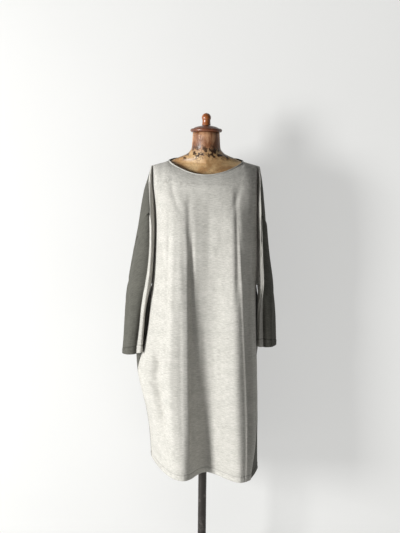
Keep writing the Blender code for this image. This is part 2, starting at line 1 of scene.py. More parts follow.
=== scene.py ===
"""Looks of a two-tone jersey dress that hangs on a limbless dress form.

Metres, +Z up, the front of the dress faces -Y. The cloth pieces follow the same drape as the solids, with
finer folds, seams and hems. The form, cap and knob are modelled finer than their solids, and the pole, its
collar and the foot are the solids with their finishes.
"""
from __future__ import annotations

import logging
import math
from dataclasses import dataclass, field
from enum import Enum
from typing import Any, Callable, NamedTuple, Sequence

import bmesh
import bpy
import numpy as np
from mathutils import Matrix, Vector, kdtree, noise


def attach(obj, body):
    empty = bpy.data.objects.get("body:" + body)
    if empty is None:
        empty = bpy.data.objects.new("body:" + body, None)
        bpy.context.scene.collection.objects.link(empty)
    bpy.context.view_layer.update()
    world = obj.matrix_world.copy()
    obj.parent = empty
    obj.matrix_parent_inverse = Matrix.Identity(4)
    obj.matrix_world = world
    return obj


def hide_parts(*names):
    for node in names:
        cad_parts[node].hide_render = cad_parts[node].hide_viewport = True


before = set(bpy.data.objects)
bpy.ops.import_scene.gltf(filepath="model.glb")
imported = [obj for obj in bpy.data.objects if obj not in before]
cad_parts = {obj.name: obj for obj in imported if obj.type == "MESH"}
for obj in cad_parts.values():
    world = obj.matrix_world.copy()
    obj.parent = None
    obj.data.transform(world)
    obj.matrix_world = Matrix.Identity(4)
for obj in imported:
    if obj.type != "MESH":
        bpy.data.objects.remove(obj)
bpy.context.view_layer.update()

LOG = logging.getLogger("dress")
ROOT = "root"
UV_NAME = "cloth"
PHOTO_HEIGHT = 533
CLOTH_WELD = 0.00003  # points of the cloth closer than this are one
FORM_WELD = 0.00002
TURNED_WELD = 0.00001
CREASE_TAIL = 0.2  # how far a crease runs on past its ends, as a share of its length
CREASE_FADE = 0.45  # the share of its length over which it fades out
LOOP_WIDTH = 0.0013
LOOP_HEIGHT = 0.0011
STITCH_LENGTH = 0.0032

Rows = list[list[Vector]]
Socket = bpy.types.NodeSocket
Colour = tuple[float, float, float, float]


class Layer(Enum):
    """The two halves that every part of the garment is cut in."""

    FRONT = "front"
    BACK = "back"

    @property
    def other(self) -> "Layer":
        """Give the other half."""
        return Layer.BACK if self is Layer.FRONT else Layer.FRONT


class Side(Enum):
    """The viewer's left and right of the garment."""

    LEFT = -1
    RIGHT = 1

    @property
    def word(self) -> str:
        """Give the side's name in lower case."""
        return self.name.lower()


class FoldLine(NamedTuple):
    """A line that runs down a panel, with its depth at five heights."""

    name: str
    x_top: float
    x_hem: float
    share: float
    chest: float
    bust: float
    waist: float
    hip: float
    hem: float


class SideRow(NamedTuple):
    """Both side seams at one height: how far the sides swell out, and the seams' depth."""

    height: float
    left_swell: float
    left_y: float
    right_swell: float
    right_y: float


class Oval(NamedTuple):
    """A sleeve's section: its centre, short half axis and turn in degrees."""

    x: float
    y: float
    width: float
    turn: float


class ArmRow(NamedTuple):
    """Both sleeves at one height, with the angles of their seams and armpit folds."""

    height: float
    length: float
    seam: float
    front_edge: float
    back_edge: float
    left: Oval
    right: Oval


class Crease(NamedTuple):
    """A soft trough, or a ridge where the depth is negative, between two points of the flat cloth."""

    start: tuple[float, float]
    end: tuple[float, float]
    bow: float
    width: float
    depth: float


FRONT_LINES = (
    FoldLine("left side", -0.169, -0.166, 0.95, -0.066, -0.070, -0.050, -0.040, 0.030),
    FoldLine("left flank", -0.148, -0.137, 0.62, -0.084, -0.098, -0.078, -0.074, -0.048),
    FoldLine("left cheek", -0.118, -0.105, 0.25, -0.096, -0.117, -0.108, -0.110, -0.104),
    FoldLine("left ridge", -0.086, -0.070, 0.00, -0.102, -0.127, -0.126, -0.129, -0.130),
    FoldLine("left wall", -0.056, -0.042, 0.00, -0.105, -0.124, -0.108, -0.108, -0.110),
    FoldLine("valley left", -0.027, -0.020, 0.00, -0.107, -0.119, -0.095, -0.084, -0.070),
    FoldLine("valley", 0.006, 0.010, 0.00, -0.108, -0.117, -0.092, -0.076, -0.038),
    FoldLine("valley right", 0.040, 0.048, 0.00, -0.107, -0.119, -0.097, -0.086, -0.062),
    FoldLine("right wall", 0.069, 0.083, 0.00, -0.104, -0.124, -0.113, -0.114, -0.104),
    FoldLine("right ridge", 0.096, 0.122, 0.00, -0.100, -0.127, -0.124, -0.131, -0.138),
    FoldLine("right turn", 0.120, 0.145, 0.20, -0.093, -0.116, -0.110, -0.116, -0.132),
    FoldLine("right valley", 0.142, 0.157, 0.40, -0.083, -0.098, -0.090, -0.095, -0.121),
    FoldLine("right side", 0.163, 0.165, 0.85, -0.064, -0.067, -0.076, -0.086, -0.113),
)
BACK_LINES = (
    FoldLine("right side", 0.166, 0.199, 0.10, 0.050, 0.040, 0.020, 0.012, 0.004),
    FoldLine("right corner", 0.152, 0.190, 0.15, 0.078, 0.078, 0.070, 0.072, 0.082),
    FoldLine("ridge 1", 0.130, 0.160, 0.10, 0.092, 0.102, 0.112, 0.120, 0.135),
    FoldLine("valley 1", 0.095, 0.118, 0.00, 0.099, 0.107, 0.106, 0.112, 0.122),
    FoldLine("ridge 2", 0.055, 0.074, 0.00, 0.103, 0.114, 0.128, 0.140, 0.158),
    FoldLine("valley 2", 0.010, 0.026, 0.00, 0.104, 0.112, 0.110, 0.112, 0.116),
    FoldLine("ridge 3", -0.030, -0.020, 0.00, 0.104, 0.114, 0.127, 0.138, 0.154),
    FoldLine("valley 3", -0.070, -0.062, 0.10, 0.102, 0.110, 0.108, 0.112, 0.120),
    FoldLine("ridge 4", -0.112, -0.104, 0.35, 0.098, 0.110, 0.132, 0.142, 0.162),
    FoldLine("left corner", -0.155, -0.150, 0.80, 0.086, 0.092, 0.104, 0.108, 0.170),
    FoldLine("left side", -0.167, -0.186, 1.05, 0.058, 0.055, 0.055, 0.055, 0.150),
)
LINE_HEIGHTS = (1.40, 1.25, 1.03, 0.755, 0.386)

SIDE_ROWS = (
    SideRow(1.40, 0.004, -0.02, 0.002, -0.02),
    SideRow(1.27, -0.008, -0.02, -0.001, -0.02),
    SideRow(1.13, -0.001, -0.02, 0.003, -0.02),
    SideRow(1.06, 0.006, -0.015, 0.008, -0.015),
    SideRow(0.93, 0.014, -0.018, 0.012, -0.020),
    SideRow(0.84, 0.028, -0.018, 0.015, -0.030),
    SideRow(0.755, 0.050, 0.000, 0.018, -0.045),
    SideRow(0.70, 0.044, 0.022, 0.019, -0.055),
    SideRow(0.60, 0.022, 0.060, 0.020, -0.072),
    SideRow(0.50, 0.008, 0.092, 0.015, -0.086),
    SideRow(0.386, 0.000, 0.120, 0.000, -0.100),
)

ARM_ROWS = (
    ArmRow(1.4725, 0.0006, -90, 60, 120, Oval(0.1865, 0.000, 0.0030, 0), Oval(0.1835, 0.000, 0.0030, 0)),
    ArmRow(1.4690, 0.0110, -88, 62, 118, Oval(0.1868, 0.000, 0.0038, 0), Oval(0.1838, 0.000, 0.0036, 0)),
    ArmRow(1.4610, 0.0230, -78, 62, 118, Oval(0.1875, 0.000, 0.0048, 0), Oval(0.1843, 0.000, 0.0045, 0)),
    ArmRow(1.4470, 0.0370, -52, 62, 120, Oval(0.1890, 0.000, 0.0065, 0), Oval(0.1850, 0.000, 0.0058, 0)),
    ArmRow(1.4300, 0.0470, -28, 60, 120, Oval(0.1915, 0.000, 0.0090, 0), Oval(0.1870, 0.000, 0.0075, 0)),
    ArmRow(1.3900, 0.0620, -8, 58, 122, Oval(0.1960, 0.004, 0.0175, 4), Oval(0.1890, 0.002, 0.0110, 2)),
    ArmRow(1.3130, 0.0800, 0, 56, 116, Oval(0.2010, 0.006, 0.0260, 8), Oval(0.1930, 0.004, 0.0155, 2)),
    ArmRow(1.1800, 0.0820, -12, 58, 98, Oval(0.2150, 0.005, 0.0290, 20), Oval(0.2040, 0.004, 0.0185, 5)),
    ArmRow(1.0600, 0.0740, -18, 66, 66, Oval(0.2310, 0.000, 0.0300, 28), Oval(0.2150, 0.000, 0.0240, 10)),
    ArmRow(0.9900, 0.0620, -14, 100, 100, Oval(0.2430, 0.000, 0.0270, 32), Oval(0.2185, 0.000, 0.0265, 20)),
    ArmRow(0.9400, 0.0560, -12, 124, 124, Oval(0.2470, -0.002, 0.0270, 33), Oval(0.2205, -0.004, 0.0275, 25)),
    ArmRow(0.8200, 0.0490, -22, 145, 145, Oval(0.2540, -0.010, 0.0290, 35), Oval(0.2225, -0.014, 0.0285, 30)),
    ArmRow(0.7800, 0.0480, -22, 145, 145, Oval(0.2550, -0.011, 0.0290, 35), Oval(0.2225, -0.014, 0.0285, 30)),
)


def mix(start: Any, end: Any, share: float) -> Any:
    """Go from start to end by a share, for numbers and vectors."""
    return start + (end - start) * share


def ease(share: Any) -> Any:
    """Give a share, or an array of them, a soft start and end."""
    share = np.clip(share, 0.0, 1.0)
    return share * share * (3 - 2 * share)


def smooth_value(heights: Sequence[float], values: Sequence[float], height: float) -> float:
    """Read a smooth curve through values at falling or rising heights, without overshoot.

    Args:
        heights: The heights of the values.
        values: The values.
        height: Where to read the curve.

    Returns:
        The curve's value there.
    """
    if heights[0] > heights[-1]:
        heights, values = heights[::-1], values[::-1]
    height = min(max(height, heights[0]), heights[-1])
    last = len(heights) - 2
    slot = next((n for n in range(last) if height <= heights[n + 1]), last)
    slopes = [(values[n + 1] - values[n]) / (heights[n + 1] - heights[n]) for n in range(last + 1)]

    def tangent(n: int) -> float:
        """Give the curve's slope at one of its values."""
        if n == 0 or n == last + 1:
            return slopes[min(n, last)]
        before, after = slopes[n - 1], slopes[n]
        return 2 * before * after / (before + after) if before * after > 0 else 0.0

    step = heights[slot + 1] - heights[slot]
    t = (height - heights[slot]) / step
    rise = values[slot + 1] - values[slot]
    bend = tangent(slot) * step * t * (1 - t) ** 2 - tangent(slot + 1) * step * t * t * (1 - t)
    return values[slot] + rise * t * t * (3 - 2 * t) + bend


def curve_between(before: Vector, start: Vector, end: Vector, after: Vector, t: float) -> Vector:
    """Read a Catmull-Rom curve between two points, with a point beyond each end."""
    head = (end - before) * 0.5
    tail = (after - start) * 0.5
    a = start * 2 - end * 2 + head + tail
    b = end * 3 - start * 3 - head * 2 - tail
    return ((a * t + b) * t + head) * t + start


def refine(points: np.ndarray, steps: Sequence[int]) -> np.ndarray:
    """Draw smooth curves through the rows of a grid of points, down its first axis.

    Args:
        points: The grid, as rows by columns by 3.
        steps: How many steps to take between each row and the next.

    Returns:
        The finer grid, which holds the given rows too.
    """
    head = points[:1] * 2 - points[1:2]
    tail = points[-1:] * 2 - points[-2:-1]
    padded = np.concatenate([head, points, tail])
    parts = []
    for n, count in enumerate(steps):
        t = (np.arange(count) / count)[:, None, None]
        before, start, end, after = padded[n:n + 4]
        bend = before * 2 - start * 5 + end * 4 - after
        turn = start * 3 - before - end * 3 + after
        parts.append(start + 0.5 * ((end - before) * t + bend * t ** 2 + turn * t ** 3))
    return np.concatenate(parts + [points[-1:]])


def as_array(rows: Rows) -> np.ndarray:
    """Turn rows of points into an array of rows by columns by 3."""
    return np.array([[tuple(point) for point in row] for row in rows])


def refine_grid(rows: Rows, down: Sequence[int], across: int) -> np.ndarray:
    """Refine rows of points in both directions."""
    grid = refine(as_array(rows), down)
    counts = [across] * (grid.shape[1] - 1)
    return refine(grid.transpose(1, 0, 2), counts).transpose(1, 0, 2)


def run_lengths(points: np.ndarray) -> np.ndarray:
    """Measure how far along a line of points each one lies."""
    steps = np.linalg.norm(np.diff(points, axis=0), axis=1)
    return np.concatenate([[0.0], np.cumsum(steps)])


def flat_places(across: np.ndarray, up: np.ndarray) -> np.ndarray:
    """Give each point of a grid its place on the flat cloth."""
    return np.stack(np.broadcast_arrays(across[None, :], up[:, None]), axis=-1)


@dataclass(frozen=True)
class Drape:
    """How the cloth hangs: the same lines, side seams and sleeve sections as in the solids."""

    hem: float = 0.386
    underarm: float = 1.06
    armhole_top: float = 1.313
    armhole_ease: float = 1.3
    armhole_gap: float = 0.0001
    tip: float = 1.4725
    tip_x: float = 0.1865
    tip_gap: float = 0.0009
    chest: float = 1.40
    left_cuff: tuple[float, float] = (0.825, 0.808)
    right_cuff: tuple[float, float] = (0.846, 0.844)
    neck_x: float = 0.130
    neck_corner: float = 1.4885
    front_reach: float = 0.089
    back_rise: float = 0.013
    back_reach: float = 0.058
    shoulder_drop: float = 0.16
    back_neck_drop: float = 0.5
    shoulder_gap: float = 0.0005
    seam_gap: float = 0.0001
    wall: float = 0.0011
    most_turn: float = 110.0
    notch: float = 0.0024
    underarm_clear: float = 0.0085
    underarm_run: float = 0.12
    sleeve_low: float = 0.006
    side_top_x: float = 0.172
    left_hem_x: float = 0.192
    right_hem_x: float = 0.168
    front_steps: int = 3
    back_steps: int = 2
    roll_count: int = 5
    chest_count: int = 7
    skirt_count: int = 13
    cap_columns: int = 5
    cape_columns: int = 12
    sleeve_count: int = 12
    chest_crowding: float = 1.4
    roll_crowding: float = 1.6
    roll_ease: float = 1.15
    bend_depth: tuple[float, float] = (0.80, 0.93)
    fold_fade: int = 6
    probe: float = 0.01
    cuff_span: float = 0.1
    halvings: int = 30

    def side_point(self, side: Side, height: float) -> Vector:
        """Place the side seam of the skirt at a height."""
        hem_x = self.left_hem_x if side is Side.LEFT else self.right_hem_x
        heights = [row.height for row in SIDE_ROWS]
        down = (self.chest - height) / (self.chest - self.hem)
        swells = [getattr(row, side.word + "_swell") for row in SIDE_ROWS]
        x = mix(self.side_top_x, hem_x, down) + smooth_value(heights, swells, height)
        y = smooth_value(heights, [getattr(row, side.word + "_y") for row in SIDE_ROWS], height)
        return Vector((side.value * x, y, height))

    def arm_value(self, name: str, height: float) -> float:
        """Read the length or an angle of the sleeves' sections."""
        heights = [row.height for row in ARM_ROWS]
        return smooth_value(heights, [getattr(row, name) for row in ARM_ROWS], height)

    def oval(self, side: Side, height: float) -> Oval:
        """Read one side's sleeve section."""
        heights = [row.height for row in ARM_ROWS]
        ovals = [getattr(row, side.word) for row in ARM_ROWS]
        return Oval(*(smooth_value(heights, [oval[n] for oval in ovals], height) for n in range(4)))

    def arm_point(self, side: Side, height: float, degrees: float) -> Vector:
        """Place a point of a sleeve's section; angles start at its front end and grow toward the body."""
        oval = self.oval(side, height)
        angle, turn = math.radians(degrees), math.radians(oval.turn)
        along = self.arm_value("length", height) * math.cos(angle)
        across = oval.width * math.sin(angle)
        x = oval.x - along * math.sin(turn) - across * math.cos(turn)
        y = oval.y - along * math.cos(turn) + across * math.sin(turn)
        return Vector((side.value * x, y, height))

    def fold_shift(self, side: Side, height: float) -> Vector:
        """Move the armpit fold in near the underarm."""
        near = max(0.0, 1 - abs(height - self.underarm) / self.underarm_run)
        return Vector((-side.value * self.underarm_clear * near * near, 0, 0))

    def armpit_point(self, side: Side, height: float, edge: str) -> Vector:
        """Place the armpit fold above the underarm, and the side seam of the skirt below it."""
        if height >= self.underarm:
            fold = self.arm_point(side, height, self.arm_value(edge, height))
            return fold + self.fold_shift(side, height)
        shift = self.armpit_point(side, self.underarm, edge) - self.side_point(side, self.underarm)
        fade = max(0.0, 1 - (self.underarm - height) / self.underarm_run) ** 2
        return self.side_point(side, height) + Vector((shift.x, shift.y, 0)) * fade

    def line_point(self, line: FoldLine, height: float) -> Vector:
        """Place a named line of a panel at a height."""
        down = (self.chest - height) / (self.chest - self.hem)
        name = "left_swell" if line.x_top < 0 else "right_swell"
        heights = [row.height for row in SIDE_ROWS]
        swell = smooth_value(heights, [getattr(row, name) for row in SIDE_ROWS], height)
        x = mix(line.x_top, line.x_hem, down) + line.share * swell * math.copysign(1, line.x_top)
        return Vector((x, smooth_value(LINE_HEIGHTS, line[4:], height), height))

    @staticmethod
    def edge_name(layer: Layer) -> str:
        """Name the armpit fold of a layer."""
        return "front_edge" if layer is Layer.FRONT else "back_edge"

    def panel_row(self, layer: Layer, height: float) -> list[Vector]:
        """Place one level row of a panel, from one armpit fold or side seam to the other.

        Args:
            layer: The front or the back panel.
            height: The row's height.

        Returns:
            The row's points, which run to the right on the front and to the left on the back.
        """
        front = layer is Layer.FRONT
        lines, others = (FRONT_LINES, BACK_LINES) if front else (BACK_LINES, FRONT_LINES)
        sides = (Side.LEFT, Side.RIGHT) if front else (Side.RIGHT, Side.LEFT)
        steps = self.front_steps if front else self.back_steps
        ends = [self.armpit_point(side, height, self.edge_name(layer)) for side in sides]
        inner = [self.line_point(line, height) for line in lines]
        if height >= self.underarm:
            beyond = [ends[0] * 2 - inner[0], ends[1] * 2 - inner[-1]]
        else:
            beyond = [self.line_point(others[-1], height), self.line_point(others[0], height)]
        points = [beyond[0], ends[0], *inner, ends[1], beyond[1]]
        row = []
        for n in range(len(points) - 3):
            row += [curve_between(*points[n:n + 4], step / steps) for step in range(steps)]
        return row + [ends[1]]

    def row_heights(self) -> list[float]:
        """Give the height of each level row from the chest down to the hem."""
        shares = [1 - (1 - n / self.chest_count) ** self.chest_crowding for n in range(self.chest_count)]
        chest = [mix(self.chest, self.underarm, share) for share in shares]
        count = self.skirt_count
        return chest + [mix(self.underarm, self.hem, n / count) for n in range(count + 1)]

    def off_seam(self, layer: Layer, point: Vector) -> Vector:
        """Keep a point of a panel on its own side of the shoulder seam."""
        gap = self.seam_gap
        depth = min(point.y, -gap) if layer is Layer.FRONT else max(point.y, gap)
        return Vector((point.x, depth, point.z))

    def neck_share(self, x: float) -> float:
        """Give 1 in the middle of the neckline and 0 at its corners and on the shoulders."""
        return math.sqrt(max(0.0, 1 - (x / self.neck_x) ** 2))

    def top_point(self, layer: Layer, x: float) -> Vector:
        """Place the shoulder seam, and between its ends the back neckline or the front's line of roll."""
        share = self.neck_share(x)
        shoulder = mix(self.neck_corner, self.tip, (abs(x) - self.neck_x) / (self.tip_x - self.neck_x))
        if layer is Layer.FRONT:
            return Vector((x, -self.shoulder_gap, min(shoulder, self.neck_corner)))
        if share == 0:
            return Vector((x, self.shoulder_gap, shoulder))
        reach = self.shoulder_gap + self.back_reach * share
        return Vector((x, reach, self.neck_corner + self.back_rise * share))

    @staticmethod
    def roll_point(top: Vector, bend: Vector, low: Vector, t: float) -> Vector:
        """Read the curve in which the cloth rolls over the shoulder."""
        return top * (1 - t) ** 2 + bend * (2 * t * (1 - t)) + low * t * t

    def neckline_start(self, x: float, top: Vector, bend: Vector, low: Vector) -> float:
        """Find where the front neckline cuts a roll: its plan is half an ellipse."""
        if not self.neck_share(x):
            return 0.0
        reach = self.shoulder_gap + self.front_reach * self.neck_share(x)
        start, end = 0.0, 1.0
        for _ in range(self.halvings):
            middle = (start + end) / 2
            if -self.roll_point(top, bend, low, middle).y < reach:
                start = middle
            else:
                end = middle
        return start

    def tip_point(self, layer: Layer, side: Side) -> Vector:
        """Place a panel's corner at the shoulder point."""
        gap = -self.tip_gap if layer is Layer.FRONT else self.tip_gap
        return Vector((side.value * self.tip_x, gap, self.tip))

    def top_columns(self, layer: Layer, chest: Sequence[Vector]) -> list[float]:
        """Give the x of each column's top, with one column on each corner of the neckline."""
        edge = self.edge_name(layer)
        ends = {side.value: abs(self.armpit_point(side, self.tip, edge).x) for side in Side}
        widths = {math.copysign(1, point.x): abs(point.x) for point in (chest[0], chest[-1])}
        signs = [math.copysign(1, point.x) for point in chest]
        tops = [point.x * ends[sign] / widths[sign] for point, sign in zip(chest, signs)]
        for corner in (-self.neck_x, self.neck_x):
            tops[min(range(len(tops)), key=lambda n: abs(tops[n] - corner))] = corner
        return tops

    def roll_rows(self, layer: Layer) -> Rows:
        """Roll a panel from its top edge over the shoulder and down to the chest."""
        front = layer is Layer.FRONT
        chest = self.panel_row(layer, self.chest)
        count = self.roll_count
        heights = [mix(self.tip, self.chest, (n / count) ** self.roll_crowding) for n in range(count)]
        rows: Rows = [[] for _ in heights]
        for n, (x, low) in enumerate(zip(self.top_columns(layer, chest), chest)):
            if n in (0, len(chest) - 1):
                side = Side.LEFT if x < 0 else Side.RIGHT
                rows[0].append(self.tip_point(layer, side))
                for row, height in zip(rows[1:], heights[1:]):
                    fold = self.armpit_point(side, height, self.edge_name(layer))
                    row.append(self.off_seam(layer, fold))
                continue
            top = self.top_point(layer, x)
            share = 0.0 if front else self.neck_share(x)
            drop = mix(self.shoulder_drop, self.back_neck_drop, share)
            depth = low.y * mix(*self.bend_depth, share)
            bend = Vector((mix(x, low.x, 0.5), depth, mix(top.z, low.z, drop)))
            start = self.neckline_start(x, top, bend, low) if front else 0.0
            for m, row in enumerate(rows):
                row.append(self.roll_point(top, bend, low, mix(start, 1, (m / count) ** self.roll_ease)))
        return rows

    def seam_height(self, share: float) -> float:
        """Give the height of the armhole seam: share is 0 at the underarm and 1 at the top seam."""
        return mix(self.underarm, self.armhole_top, (share * share * (3 - 2 * share)) ** self.armhole_ease)

    def sleeve_point(self, layer: Layer, side: Side, share: float, height: float) -> Vector:
        """Place a point of a sleeve half: share is 0 at the armpit fold and 1 at the top seam."""
        front = layer is Layer.FRONT
        edge = "front_edge" if front or height <= self.underarm else "back_edge"
        seam = self.arm_value("seam", height) + (0 if front else 360)
        point = self.arm_point(side, height, mix(self.arm_value(edge, height), seam, share))
        return point + self.fold_shift(side, height) * (1 - share) ** self.fold_fade

    def column_count(self, layer: Layer) -> int:
        """Give the number of steps round a sleeve half."""
        return self.cap_columns if layer is Layer.FRONT else self.cape_columns

    def armhole_point(self, layer: Layer, side: Side, n: int, lean: int) -> Vector:
        """Place point n of the armhole seam, half a gap up on the panel (lean -1) or down on the sleeve."""
        count = self.column_count(layer)
        before, here, after = (min(max(n + step, 0), count) / count for step in (-1, 0, 1))
        point = self.sleeve_point(layer, side, here, self.seam_height(here))
        along = self.sleeve_point(layer, side, after, self.seam_height(after))
        along -= self.sleeve_point(layer, side, before, self.seam_height(before))
        along.normalize()
        down = self.sleeve_point(layer, side, here, point.z - self.probe) - point
        if n < count:
            down -= along * down.dot(along)
        return point + down.normalized() * (lean * self.armhole_gap / 2)

    def shoulder_columns(self, layer: Layer, side: Side, heights: Sequence[float]) -> Rows:
        """Place the dropped shoulder of a panel, as columns from beside the fold to the top seam."""
        count = self.column_count(layer)
        columns = []
        for n in range(1, count + 1):
            low = self.seam_height(n / count)
            points = [self.tip_point(layer, side)]
            for height in heights[1:-1]:
                down = (self.tip - height) / (self.tip - self.underarm)
                points.append(self.sleeve_point(layer, side, n / count, mix(self.tip, low, down)))
            columns.append(points + [self.armhole_point(layer, side, n, -1)])
        return columns

    def sleeve_columns(self, layer: Layer, side: Side) -> Rows:
        """Place a sleeve half's columns, from the underarm seam to the top seam."""
        cuff = (self.left_cuff if side is Side.LEFT else self.right_cuff)[0]
        count = self.column_count(layer)
        columns = []
        for n in range(count + 1):
            top = self.armhole_point(layer, side, n, 1)
            if n == 0:
                low = self.underarm - self.sleeve_low
                top = self.arm_point(side, low, self.arm_value("front_edge", low))
            points = [top]
            for row in range(1, self.sleeve_count + 1):
                z = mix(top.z, cuff, row / self.sleeve_count)
                point = self.sleeve_point(layer, side, n / count, z)
                points.append(point - self.fold_shift(side, z) if n == 0 else point)
            columns.append(points)
        return columns

    def cut_back(
        self, edge: Sequence[Vector], inner: Sequence[Vector], beyond: Sequence[Vector]
    ) -> list[Vector]:
        """Pull a seam's edge toward its own panel, further where the walls meet at a sharp angle.

        Args:
            edge: The seam's points.
            inner: The next points on this panel.
            beyond: The next points on the other panel.

        Returns:
            The moved edge.
        """
        cut = []
        for n, point in enumerate(edge):
            seam = (edge[min(n + 1, len(edge) - 1)] - edge[max(n - 1, 0)]).normalized()
            here, there = inner[n] - point, beyond[n] - point
            here -= seam * here.dot(seam)
            there -= seam * there.dot(seam)
            turn = min(math.pi - here.angle(there), math.radians(self.most_turn))
            cut.append(point + here.normalized() * (self.seam_gap / 2 + self.wall / 2 * math.tan(turn / 2)))
        return cut

    def panel_rows(self, layer: Layer) -> Rows:
        """Place all rows of a panel between its armpit folds and side seams, from the top edge to the hem."""
        levels = self.row_heights()
        rows = self.roll_rows(layer) + [self.panel_row(layer, height) for height in levels]
        skirt = rows[self.roll_count + self.chest_count:]
        others = [self.panel_row(layer.other, height) for height in levels[self.chest_count:]]
        for end, inner, beyond in ((0, 1, -2), (-1, -2, 1)):
            edge = [row[end] for row in skirt]
            cut = self.cut_back(edge, [row[inner] for row in skirt], [row[beyond] for row in others])
            for row, point in zip(skirt, cut):
                row[end] = point
        return rows

    def shoulder_patch(self, layer: Layer, side: Side, armpit: Sequence[Vector]) -> Rows:
        """Place the rows of a dropped shoulder, which start on the panel's armpit fold."""
        heights = [point.z for point in armpit]
        notch = armpit[-1] + Vector((side.value * self.notch, 0, 0))
        columns = [[*armpit[:-1], notch], *self.shoulder_columns(layer, side, heights)]
        beyond = self.shoulder_columns(layer.other, side, heights)[-2]
        columns[-1][1:] = self.cut_back(columns[-1][1:], columns[-2][1:], beyond[1:])
        return [list(row) for row in zip(*columns)]

    def sleeve_rows(self, layer: Layer, side: Side) -> Rows:
        """Place the rows of a sleeve half, from the armhole seam to the cuff."""
        inner, outer = self.left_cuff if side is Side.LEFT else self.right_cuff
        columns = self.sleeve_columns(layer, side)
        others = self.sleeve_columns(layer.other, side)
        columns[0] = self.cut_back(columns[0], columns[1], others[1])
        columns[-1] = self.cut_back(columns[-1], columns[-2], others[-2])
        for point in (point for points in columns for point in points):
            reach = (point.z - inner) / (self.armhole_top - inner)
            point.z += (outer - inner) * (abs(point.x) - self.tip_x) / self.cuff_span * (1 - reach) ** 2
        return [list(row) for row in zip(*columns)]


def press_in(creases: Sequence[Crease], u: np.ndarray, v: np.ndarray) -> np.ndarray:
    """Add up the creases over the flat cloth.

    Args:
        creases: The creases.
        u: Distance across the cloth, for each point.
        v: Distance above the hem or cuff, for each point.

    Returns:
        How far each point moves out along its normal.
    """
    out = np.zeros_like(u)
    for crease in creases:
        (ax, ay), (bx, by) = crease.start, crease.end
        dx, dy = bx - ax, by - ay
        length = math.hypot(dx, dy)
        t = ((u - ax) * dx + (v - ay) * dy) / (length * length)
        bowed = crease.bow * 4 * t * (1 - t)
        away = ((u - ax) * dy - (v - ay) * dx) / length - bowed
        fade = ease((t + CREASE_TAIL) / CREASE_FADE) * ease((1 + CREASE_TAIL - t) / CREASE_FADE)
        out -= crease.depth * fade * np.exp(-(away / crease.width) ** 2)
    return out


@dataclass(frozen=True)
class Hem:
    """A turned hem, sewn with one row of stitches."""

    depth: float = 0.020
    rise: float = 0.0007
    groove: float = 0.0009
    pucker: float = 0.0005
    pucker_length: float = 0.013
    pucker_width: float = 0.010
    pucker_height: float = 0.8
    sway: float = 2.0
    sway_scale: float = 23.0
    fold_edge: float = 0.0020
    line_width: float = 0.0022

    def relief(self, u: np.ndarray, v: np.ndarray) -> np.ndarray:
        """Give how far the cloth stands out: thicker under the stitches, pulled in along them."""
        turned = self.rise * (1 - ease((v - self.depth + self.fold_edge / 2) / self.fold_edge))
        line = self.groove * np.exp(-((v - self.depth) / self.line_width) ** 2)
        wave = np.sin(u * math.tau / self.pucker_length + self.sway * np.sin(u * self.sway_scale))
        near = np.exp(-((v - self.depth * self.pucker_height) / self.pucker_width) ** 2)
        return turned - line + self.pucker * wave * near


